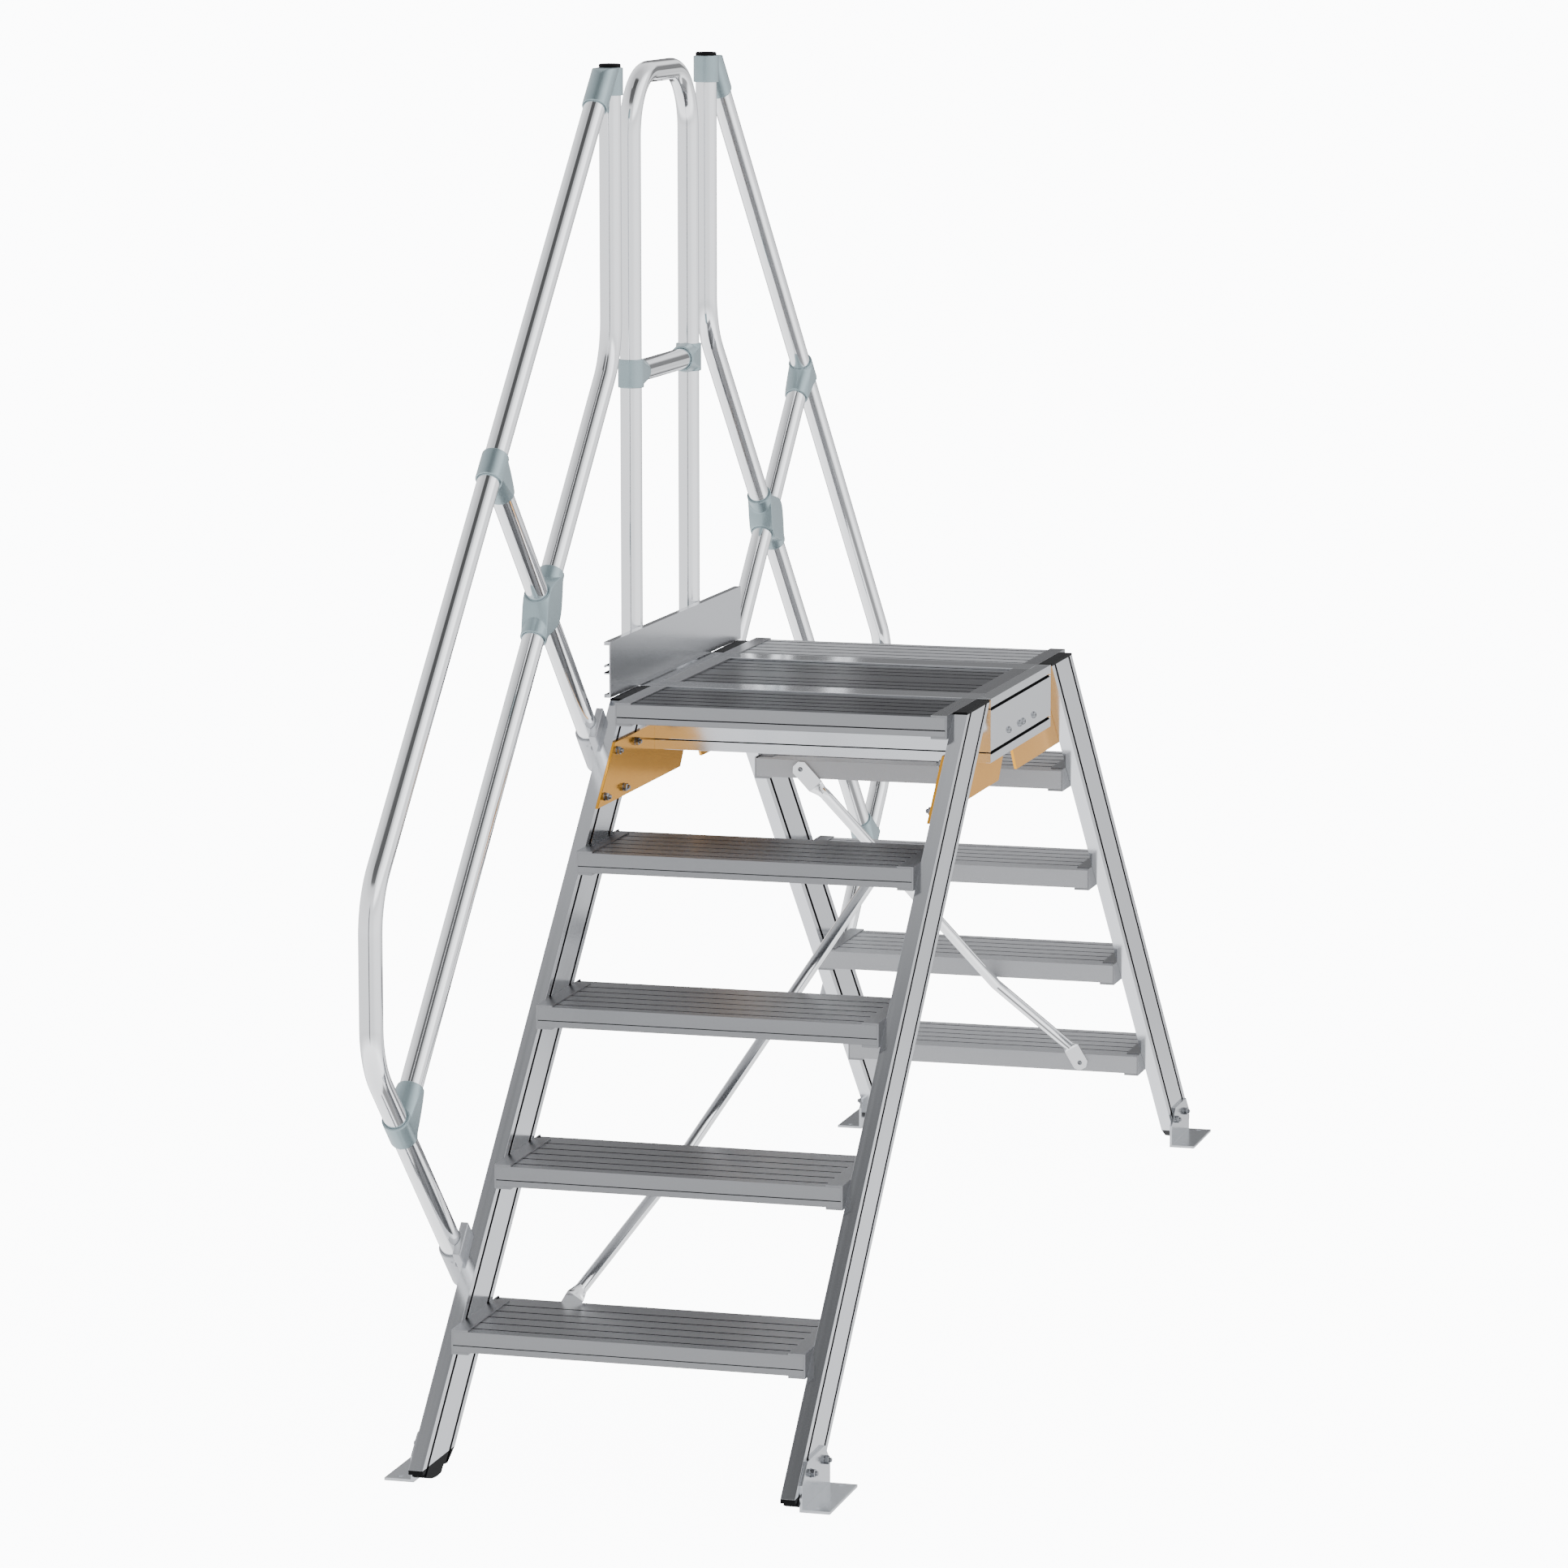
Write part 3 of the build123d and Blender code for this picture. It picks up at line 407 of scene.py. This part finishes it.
# ways the die lines run, as turns of the noise
slant = math.radians(45)
square = math.radians(90)
alongX = (0, 0, square)
alongY = (0, 0, 0)
finishes = {
    "frontStringer": polishedAluminium("polishedAluminiumFront", (-slant, 0, 0)),
    "rearStringer": polishedAluminium("polishedAluminiumRear", (slant, 0, 0)),
    "sideBeam": polishedAluminium("polishedAluminiumSide", alongY),
    "crossBeam": polishedAluminium("polishedAluminiumCross", alongX),
    "plate": blastedPlate("blastedAluminiumPlate"),
    "tread": millAluminium("millAluminiumTread", alongX, ("8e8f91", "949597"), 0.3, 0.8),
    # the top front tread takes its own copy of the tread finish with a dimmed grazing reflection: painted
    # shade
    "topTreadShaded": millAluminium(
        "millAluminiumTopTreadShaded", alongX, ("949597", "98999b"), 0.33, grazing="a4a4a4"
    ),
    "deck": millAluminium("millAluminiumDeck", alongX, ("8a8b8d", "8e8f91"), 0.33, grazing="cccccc"),
    # the rear treads take a lighter, rougher, less metallic copy of the tread finish: painted light for how
    # they look from behind
    "rearTreadLit": millAluminium("millAluminiumRearTreadLit", alongX, ("a4a5a7", "aaabad"), 0.45, 0.2),
    "bracket": millAluminium("millAluminiumBracket", alongY, ("8f9092", "939496"), 0.28),
    "toeBoard": millAluminium("millAluminiumToeBoard", alongY, ("d0d2d5", "d4d6d9"), 0.2),
    "tube": anodisedTube("anodisedTube"),
    "cast": coatedCasting("coatedCasting", ("92a4a8", "9fb0b4")),
    "socket": coatedCasting("castAluminiumSocket", ("b4b6b9", "bfc1c4")),
    "orange": orangeLacquer("orangeLacquer"),
    "black": blackPolyamide("blackPolyamide"),
    "bolt": zincSteel("zincPlatedSteel"),
    # near-black painted shade for the hollows of extrusions, the mouths of their slots and the grooves of
    # treads
    "paintedShade": shadeInsideFinish("paintedShadeInside"),
}
print("finishes made:", len(finishes))


weldDistance = 1e-6


def solidCopy(node):
    work = bmesh.new()
    work.from_mesh(nodes[node].data)
    bmesh.ops.remove_doubles(work, verts=work.verts, dist=weldDistance)
    return work


def newPiece(name, work, finish):
    mesh = bpy.data.meshes.new(name)
    work.to_mesh(mesh)
    work.free()
    stored = mesh.attributes.get("custom_normal")
    if stored:
        mesh.attributes.remove(stored)  # normals of the old facets would dent the new flat faces
    mesh.materials.append(finishes[finish])
    return addToScene(bpy.data.objects.new(name, mesh))


def bakeModifiers(piece):
    seen = piece.evaluated_get(bpy.context.evaluated_depsgraph_get())
    mesh = bpy.data.meshes.new_from_object(seen)
    piece.modifiers.clear()
    piece.data = mesh


def standFor(piece, slot, *replaced):
    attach(piece, "root")
    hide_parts(*replaced)


# extrusions, plates and mouldings: the solids with their edges broken, as a real edge catches light
edges = {
    "profile": 0.4, "plank": 0.4, "beam": 0.2, "board": 0.1, "groove": 1.1, "sheet": 0.6,
    "moulding": 1.0, "brace": 0.4,
}
edgeSteps = 2
flattest = math.radians(1)  # faces nearer to flat than this are joined
crease = math.radians(20)  # sharper than this stays an edge, so that flat faces mirror flat
sharpest = math.radians(30)  # edges sharper than this are broken


def smoothFaces(piece):
    for polygon in piece.data.polygons:
        polygon.use_smooth = True


def shadeSmooth(piece):
    smoothFaces(piece)
    piece.data.set_sharp_from_angle(angle=crease)
    flatten = piece.modifiers.new("flatten", "WEIGHTED_NORMAL")
    flatten.weight = 100  # wide faces stay flat beside their rounded edges
    flatten.keep_sharp = True
    bakeModifiers(piece)


# a face is inside a slot or groove if more than a share of the ways out from it meet the same piece; such a
# face takes the near-black painted shade finish
inside = {
    "rays": 32, "reach": 60.0, "lift": 0.05,
    "shares": {"profile": 0.2, "plank": 0.38, "beam": 0.38, "board": 0.38, "groove": 0.12},
}


# ways out, spread evenly over the half of a ball above a face
def waysOut(count):
    ways = []
    for number in range(count):
        height = (number + 0.5) / count
        turn = number * math.pi * (3 - math.sqrt(5))
        flat = math.sqrt(1 - height * height)
        ways.append(Vector((flat * math.cos(turn), flat * math.sin(turn), height)))
    return ways


def paintShadeInside(piece, share):
    mesh = piece.data
    corners = [vert.co for vert in mesh.vertices]
    tree = BVHTree.FromPolygons(corners, [list(face.vertices) for face in mesh.polygons])
    ways = waysOut(inside["rays"])
    # faces hemmed in by their own piece get the second finish: painted shade in slots, grooves and hollows
    mesh.materials.append(finishes["paintedShade"])
    for face in mesh.polygons:
        start = face.center + face.normal * inside["lift"] * mm
        upright = face.normal.to_track_quat("Z", "Y")
        met = 0
        for way in ways:
            ray = way.copy()
            ray.rotate(upright)
            if tree.ray_cast(start, ray, inside["reach"] * mm)[0]:
                met += 1
        if met > share * inside["rays"]:
            face.material_index = 1


# the mouths of a plank's grooves, on its top and in from its rims, are rounded more than its other edges
grooveRim = 1.0


def weighEdges(work, edge):
    layer = work.edges.layers.float.new("bevel_weight_edge")
    rows = [vert.co.y for vert in work.verts]
    front = min(rows) + grooveRim * mm
    back = max(rows) - grooveRim * mm
    top = max(vert.co.z for vert in work.verts) - grooveRim * mm
    for line in work.edges:
        if len(line.link_faces) == 2 and line.calc_face_angle() > sharpest:
            mouth = all(vert.co.z > top and front < vert.co.y < back for vert in line.verts)
            full = mouth or edge != "groove"
            line[layer] = 1.0 if full else edges["plank"] / edges[edge]


# the beams' slots are closed in by a lip: a share of their width stays open
beamSlots = {"heights": (1064.0, 1144.0), "reach": 4.3, "cross": 0.25, "side": 0.75}


def narrowSlots(work, share):
    for vert in work.verts:
        for height in beamSlots["heights"]:
            away = vert.co.z - height * mm
            if abs(away) < beamSlots["reach"] * mm:
                vert.co.z = height * mm + away * share


def easedPiece(node, edge, finish, slot, slotShare=1.0):
    work = solidCopy(node)
    bmesh.ops.dissolve_limit(work, angle_limit=flattest, verts=work.verts, edges=work.edges)
    if slotShare < 1:
        narrowSlots(work, slotShare)
    weighEdges(work, edge)
    piece = newPiece(node + "_eased", work, finish)
    ease = piece.modifiers.new("ease", "BEVEL")
    ease.width = edges[edge] * mm
    ease.segments = edgeSteps
    ease.limit_method = "WEIGHT"
    bakeModifiers(piece)
    shadeSmooth(piece)
    # slots, grooves and hollows of these pieces are painted dark as shade
    if edge in inside["shares"]:
        paintShadeInside(piece, inside["shares"][edge])
    standFor(piece, slot, node)


treadCount = 5
# the rear flight's treads take the lit copy of the tread finish
for end, treadFinish in (("front", "tread"), ("rear", "rearTreadLit")):
    for side in ("left", "right"):
        easedPiece(f"{end}_{side}_stringer", "profile", end + "Stringer", "polished_aluminium")
        easedPiece(f"{end}_{side}_anchor", "sheet", "plate", "polished_aluminium")
    for level in range(1, treadCount + 1):
        finish = "topTreadShaded" if (end, level) == ("front", treadCount) else treadFinish
        easedPiece(f"{end}_tread_{level}", "groove", finish, "grooved_aluminium")
    easedPiece(f"{end}_tread_brackets", "plank", "bracket", "bracket_aluminium")
    easedPiece(f"{end}_cross_beam", "plank", "crossBeam", "polished_aluminium", beamSlots["cross"])
    easedPiece(f"{end}_gussets", "sheet", "orange", "orange_plate")
    easedPiece(f"{end}_brace", "brace", "tube", "tube_aluminium")
for side in ("left", "right"):
    easedPiece(f"{side}_side_beam", "beam", "sideBeam", "polished_aluminium", beamSlots["side"])
easedPiece("deck_planks", "groove", "deck", "grooved_aluminium")
easedPiece("deck_channels", "plank", "bracket", "bracket_aluminium")
easedPiece("toe_board", "board", "toeBoard", "grooved_aluminium")
easedPiece("stringer_caps", "plank", "black", "black_plastic")
easedPiece("stringer_feet", "moulding", "black", "black_plastic")
easedPiece("upright_plugs", "moulding", "black", "black_plastic")
print("extrusions, plates and mouldings made")


# castings: the solids with every edge rounded off, as they come out of the die
casting = {"voxel": 1.1, "factor": 0.5, "rounds": 5, "keep": 0.25}


def castPiece(node, finish, slot):
    piece = newPiece(node + "_cast", solidCopy(node), finish)
    skin = piece.modifiers.new("skin", "REMESH")
    skin.mode = "VOXEL"
    skin.voxel_size = casting["voxel"] * mm
    soften = piece.modifiers.new("soften", "SMOOTH")
    soften.factor = casting["factor"]
    soften.iterations = casting["rounds"]
    thin = piece.modifiers.new("thin", "DECIMATE")
    thin.ratio = casting["keep"]
    bakeModifiers(piece)
    smoothFaces(piece)
    standFor(piece, slot, node)


for end in ("front", "rear"):
    for fitting in ("crown_fitting", "handrail_tee", "cross_fitting", "foot_tee"):
        castPiece(f"{end}_{fitting}", "cast", "cast_grey")
castPiece("hoop_tees", "cast", "cast_grey")
for fitting in ("rail_sockets", "hoop_sockets"):
    castPiece(fitting, "socket", "cast_grey")
print("castings made")


# rails: bent tubes along their centre lines, given as (y, z) corners, those of the flights for the front one
rails = {"diameter": 40.0, "bend": 150.0, "hoopBend": 115.0, "x": -360.5, "sides": 64, "arcSteps": 24}
railPaths = {
    "handrail": [[(-1164.2, 273.0), (-1618.2, 726.9), (-1618.2, 998.4), (-352.8, 2263.8)]],
    "knee_rail": [[(-1469.0, 610.2), (-303.0, 1776.2), (-303.0, 2290.0)]],
    "post": [[(-391.2, 1046.0), (-696.0, 1350.7)], [(-728.5, 1383.2), (-964.7, 1619.4)]],
}
hoopPaths = {
    "hoop": [[(-183.0, 1070.0), (-183.0, 2274.0), (183.0, 2274.0), (183.0, 1070.0)]],
    "hoop_bar": [[(-160.0, 1730.0), (160.0, 1730.0)]],
}


def newTree(name, inputs, output):
    tree = bpy.data.node_groups.new(name, "GeometryNodeTree")
    for label, kind in inputs:
        tree.interface.new_socket(label, in_out="INPUT", socket_type="NodeSocket" + kind)
    tree.interface.new_socket(output, in_out="OUTPUT", socket_type="NodeSocketGeometry")
    return tree, addNode(tree, "NodeGroupInput").outputs


def endTree(tree, shape, finish, output):
    real = addNode(tree, "GeometryNodeRealizeInstances", [("Geometry", shape)])
    painted = addNode(
        tree, "GeometryNodeSetMaterial", [("Geometry", real.outputs["Geometry"]), ("Material", finish)]
    )
    addNode(tree, "NodeGroupOutput", [(output, painted.outputs["Geometry"])])
    return tree


# sets each input by its identifier, then turns the result into a plain mesh
def growTree(piece, tree, values):
    growth = piece.modifiers.new(tree.name, "NODES")
    growth.node_group = tree
    for item in tree.interface.items_tree:
        if item.in_out == "INPUT" and item.name in values:
            growth[item.identifier] = values[item.name]
    bakeModifiers(piece)


def tubeTree():
    inputs = [
        ("Path", "Geometry"), ("Diameter", "Float"), ("Bend Radius", "Float"), ("Sides", "Int"),
        ("Arc Steps", "Int"), ("Finish", "Material"),
    ]
    tree, given = newTree("bentTube", inputs, "Tube")
    path = addNode(tree, "GeometryNodeMeshToCurve", [("Mesh", given["Path"])])
    bent = addNode(
        tree, "GeometryNodeFilletCurve",
        [("Curve", path.outputs["Curve"]), ("Count", given["Arc Steps"]), ("Radius", given["Bend Radius"]),
         ("Limit Radius", True)],
        mode="POLY",
    )
    ring = addNode(
        tree, "GeometryNodeCurvePrimitiveCircle",
        [("Resolution", given["Sides"]), ("Radius", times(tree, given["Diameter"], 0.5))],
    )
    skin = addNode(
        tree, "GeometryNodeCurveToMesh",
        [("Curve", bent.outputs["Curve"]), ("Profile Curve", ring.outputs["Curve"]), ("Fill Caps", True)],
    )
    smooth = addNode(tree, "GeometryNodeSetShadeSmooth", [("Geometry", skin.outputs["Mesh"])])
    return endTree(tree, smooth.outputs["Geometry"], given["Finish"], "Tube")


def tubePiece(name, paths, bend, tree):
    points = []
    runs = []
    for path in paths:
        first = len(points)
        points += [(rails["x"] * mm, y * mm, z * mm) for y, z in path]
        runs += [(first + i, first + i + 1) for i in range(len(path) - 1)]
    mesh = bpy.data.meshes.new(name + "_tube")
    mesh.from_pydata(points, runs, [])
    piece = addToScene(bpy.data.objects.new(name + "_tube", mesh))
    growTree(piece, tree, {
        "Diameter": rails["diameter"] * mm, "Bend Radius": bend * mm, "Sides": rails["sides"],
        "Arc Steps": rails["arcSteps"], "Finish": finishes["tube"],
    })
    standFor(piece, "tube_aluminium", name)


bentTube = tubeTree()
for end, way in (("front", 1), ("rear", -1)):
    for name, paths in railPaths.items():
        placed = [[(way * y, z) for y, z in path] for path in paths]
        tubePiece(f"{end}_{name}", placed, rails["bend"], bentTube)
for name, paths in hoopPaths.items():
    tubePiece(name, paths, rails["hoopBend"], bentTube)
print("rails made")


# fasteners: each stands on a seat, a point with the way that it faces; tops, tips and corners are shares
bolts = {
    "thickness": 8.0, "shank": 9.0, "tail": 4.4, "tipStart": 0.75, "tip": 0.7,
    "across": 13.0, "nutHeight": 8.0, "nutChamfer": 1.2, "nutTop": 0.85, "flange": 15.6, "flangeHeight": 1.8,
    "button": 14.0, "buttonHeight": 4.4, "buttonDome": 3.0,
    "screw": 10.0, "screwHeight": 4.0, "screwDome": 0.6, "lowHeight": 2.5, "lowDome": 1.5,
    "socket": 5.0, "socketCorner": 0.577, "socketDepth": 2.4, "socketTop": 1.5,
    "throughLength": 30.0,  # a longer gusset bolt goes through the side beam
    "screwLength": 22.0,  # a longer rail bolt is a socket's screw
    "seed": 7,
}
sides = {"hexagon": 6, "shank": 24, "head": 32}
domeSteps = ((0.0, 0.0), (0.5, 0.3), (0.85, 0.7), (1.0, 1.0))  # shares of a head's height and of its dome


# lowest and highest corner of each bolt in a node
def boltBoxes(node):
    work = solidCopy(node)
    waiting = set(work.verts)
    boxes = []
    while waiting:
        reached = [waiting.pop()]
        corners = []
        while reached:
            vert = reached.pop()
            corners.append(vert.co.copy())
            for edge in vert.link_edges:
                other = edge.other_vert(vert)
                if other in waiting:
                    waiting.remove(other)
                    reached.append(other)
        low = Vector([min(corner[axis] for corner in corners) for axis in range(3)])
        high = Vector([max(corner[axis] for corner in corners) for axis in range(3)])
        boxes.append((low, high))
    work.free()
    return sorted(boxes, key=lambda box: [round(value, 5) for value in box[0]])


# seat on a bolt's axis, a given height below the end that faces one way
def seatOn(box, axis, way, height):
    low, high = box
    place = (low + high) / 2
    place[axis] = (high if way > 0 else low)[axis] - way * height * mm
    facing = Vector((0, 0, 0))
    facing[axis] = way
    return place, facing


def fastenerTree(name, sizes, shape):
    inputs = [("Seats", "Geometry")] + [(size, "Float") for size in sizes]
    inputs += [("Finish", "Material"), ("Seed", "Int")]
    tree, given = newTree(name, inputs, "Fasteners")
    facing = addNode(
        tree, "GeometryNodeInputNamedAttribute", [("Name", "facing")], data_type="FLOAT_VECTOR"
    )
    upright = addNode(
        tree, "FunctionNodeAlignRotationToVector", [("Vector", facing.outputs["Attribute"])], axis="Z"
    )
    chance = addNode(
        tree, "FunctionNodeRandomValue", [("Max", (0, 0, math.tau)), ("Seed", given["Seed"])],
        data_type="FLOAT_VECTOR",
    )
    spun = addNode(
        tree, "FunctionNodeRotateRotation",
        [("Rotation", upright.outputs["Rotation"]), ("Rotate By", chance.outputs["Value"])],
        rotation_space="LOCAL",
    )
    placed = addNode(tree, "GeometryNodeInstanceOnPoints", [
        ("Points", given["Seats"]), ("Instance", shape(tree, given)), ("Rotation", spun.outputs["Rotation"]),
    ])
    return endTree(tree, placed.outputs["Instances"], given["Finish"], "Fasteners")


# a round or six-sided length between two heights, straight or narrowing
def turnedLength(tree, count, low, lowRadius, high, highRadius):
    cone = addNode(tree, "GeometryNodeMeshCone", [
        ("Vertices", count), ("Radius Bottom", lowRadius), ("Radius Top", highRadius),
        ("Depth", addMath(tree, "SUBTRACT", high, low)),
    ])
    lift = addNode(tree, "ShaderNodeCombineXYZ", [("Z", low)])
    moved = addNode(tree, "GeometryNodeTransform", [
        ("Geometry", cone.outputs["Mesh"]), ("Translation", lift.outputs["Vector"]),
    ])
    return moved.outputs["Geometry"]


def joined(tree, shapes):
    node = addNode(tree, "GeometryNodeJoinGeometry", [("Geometry", shape) for shape in shapes])
    return node.outputs["Geometry"]


def flangeNut(tree, given):
    corner = times(tree, given["Across"], 0.5 / math.cos(math.radians(30)))
    chamferStart = plus(tree, given["Nut Height"], times(tree, given["Chamfer"], -1.0))
    shankEnd = times(tree, given["Shank"], -1.0)
    shankRadius = times(tree, given["Thickness"], 0.5)
    tipStart = plus(tree, given["Nut Height"], times(tree, given["Tail"], bolts["tipStart"]))
    tip = plus(tree, given["Nut Height"], given["Tail"])
    flangeRadius = times(tree, given["Flange"], 0.5)
    topRadius = times(tree, corner, bolts["nutTop"])
    tipRadius = times(tree, shankRadius, bolts["tip"])
    return joined(tree, [
        turnedLength(tree, sides["head"], 0.0, flangeRadius, given["Flange Height"], corner),
        turnedLength(tree, sides["hexagon"], 0.0, corner, chamferStart, corner),
        turnedLength(tree, sides["hexagon"], chamferStart, corner, given["Nut Height"], topRadius),
        turnedLength(tree, sides["shank"], shankEnd, shankRadius, tipStart, shankRadius),
        turnedLength(tree, sides["shank"], tipStart, shankRadius, tip, tipRadius),
    ])


# head with a six-sided socket: rounded over for a button head, straight with a chamfer for a cap screw
def socketHead(tree, given):
    radius = times(tree, given["Diameter"], 0.5)
    rims = []
    for rise, fall in domeSteps:
        height = times(tree, given["Height"], rise)
        rims.append((height, plus(tree, radius, times(tree, given["Dome"], -fall))))
    shapes = [turnedLength(tree, sides["head"], *low, *high) for low, high in zip(rims, rims[1:])]
    head = addNode(
        tree, "GeometryNodeMeshBoolean", [("Mesh", shape) for shape in shapes], operation="UNION"
    ).outputs["Mesh"]
    corner = times(tree, given["Socket"], bolts["socketCorner"])
    bottom = plus(tree, given["Height"], times(tree, given["Socket Depth"], -1.0))
    top = times(tree, given["Height"], bolts["socketTop"])
    recess = turnedLength(tree, sides["hexagon"], bottom, corner, top, corner)
    cut = addNode(
        tree, "GeometryNodeMeshBoolean", [("Mesh 1", head), ("Mesh 2", recess)], operation="DIFFERENCE"
    ).outputs["Mesh"]
    shankEnd = times(tree, given["Shank"], -1.0)
    shankRadius = times(tree, given["Thickness"], 0.5)
    return joined(tree, [cut, turnedLength(tree, sides["shank"], shankEnd, shankRadius, 0.0, shankRadius)])


nutSizes = {
    "Thickness": "thickness", "Across": "across", "Nut Height": "nutHeight", "Chamfer": "nutChamfer",
    "Flange": "flange", "Flange Height": "flangeHeight", "Tail": "tail", "Shank": "shank",
}
headSizes = ("Thickness", "Diameter", "Height", "Dome", "Socket", "Socket Depth", "Shank")
nutTree = fastenerTree("flangeNut", nutSizes, flangeNut)
headTree = fastenerTree("socketHead", headSizes, socketHead)
nutValues = {label: bolts[key] for label, key in nutSizes.items()}


def headValues(diameter, height, dome):
    return {
        "Thickness": bolts["thickness"], "Diameter": bolts[diameter], "Height": bolts[height],
        "Dome": bolts[dome], "Socket": bolts["socket"], "Socket Depth": bolts["socketDepth"],
        "Shank": bolts["shank"],
    }


kinds = {
    "nut": (nutTree, nutValues),
    "button": (headTree, headValues("button", "buttonHeight", "buttonDome")),
    "screw": (headTree, headValues("screw", "screwHeight", "screwDome")),
    "low": (headTree, headValues("screw", "lowHeight", "lowDome")),
}


def growFasteners(work, kind, seats):
    tree, values = kinds[kind]
    mesh = bpy.data.meshes.new(kind)
    mesh.from_pydata([place for place, facing in seats], [], [])
    ways = mesh.attributes.new("facing", "FLOAT_VECTOR", "POINT")
    for number, (place, facing) in enumerate(seats):
        ways.data[number].vector = facing
    holder = addToScene(bpy.data.objects.new(kind, mesh))
    sizes = {label: value * mm for label, value in values.items()}
    growTree(holder, tree, {**sizes, "Finish": finishes["bolt"], "Seed": bolts["seed"]})
    work.from_mesh(holder.data)
    bpy.data.objects.remove(holder)


def fastenerPiece(node, groups):
    work = bmesh.new()
    for kind, seats in groups.items():
        growFasteners(work, kind, seats)
    piece = newPiece(node + "_turned", work, "bolt")
    shadeSmooth(piece)
    standFor(piece, "bolt_steel", node)


def lengthOf(box):
    return (box[1] - box[0]).x / mm


def outward(box):
    return 1 if box[0].x + box[1].x > 0 else -1


nutStand = bolts["nutHeight"] + bolts["tail"]
gussetBoxes = boltBoxes("gusset_bolts")
throughBoxes = [box for box in gussetBoxes if lengthOf(box) > bolts["throughLength"]]
slotBoxes = [box for box in gussetBoxes if lengthOf(box) <= bolts["throughLength"]]
slotSeats = [seatOn(box, 0, -outward(box), nutStand) for box in slotBoxes]
backSeats = [seatOn(box, 0, -outward(box), bolts["nutHeight"]) for box in throughBoxes]
beamSeats = [seatOn(box, 0, outward(box), bolts["buttonHeight"]) for box in throughBoxes]
fastenerPiece("gusset_bolts", {"nut": slotSeats + backSeats, "button": beamSeats})
anchorSeats = [seatOn(box, 0, outward(box), nutStand) for box in boltBoxes("anchor_bolts")]
fastenerPiece("anchor_bolts", {"nut": anchorSeats})
braceBoxes = boltBoxes("brace_bolts")
braceSeats = [seatOn(box, 1, 1 if box[0].y < 0 else -1, bolts["lowHeight"]) for box in braceBoxes]
fastenerPiece("brace_bolts", {"low": braceSeats})
railBoxes = boltBoxes("rail_bolts")
clampBoxes = [box for box in railBoxes if lengthOf(box) < bolts["screwLength"]]
socketBoxes = [box for box in railBoxes if lengthOf(box) >= bolts["screwLength"]]
clampSeats = [seatOn(box, 0, -1, nutStand) for box in clampBoxes]
socketSeats = [seatOn(box, 0, -1, bolts["screwHeight"]) for box in socketBoxes]
fastenerPiece("rail_bolts", {"nut": clampSeats, "screw": socketSeats})
print("fasteners made:", len(gussetBoxes + anchorSeats + braceSeats + railBoxes))


# nodes that stay as they are, with their real finish
def keepNode(node, finish):
    solid = nodes[node]
    solid.data.materials.clear()
    solid.data.materials.append(finishes[finish])


keepNode("tread_bolts", "bolt")
keepNode("toe_board_clamps", "cast")
print("other nodes finished")
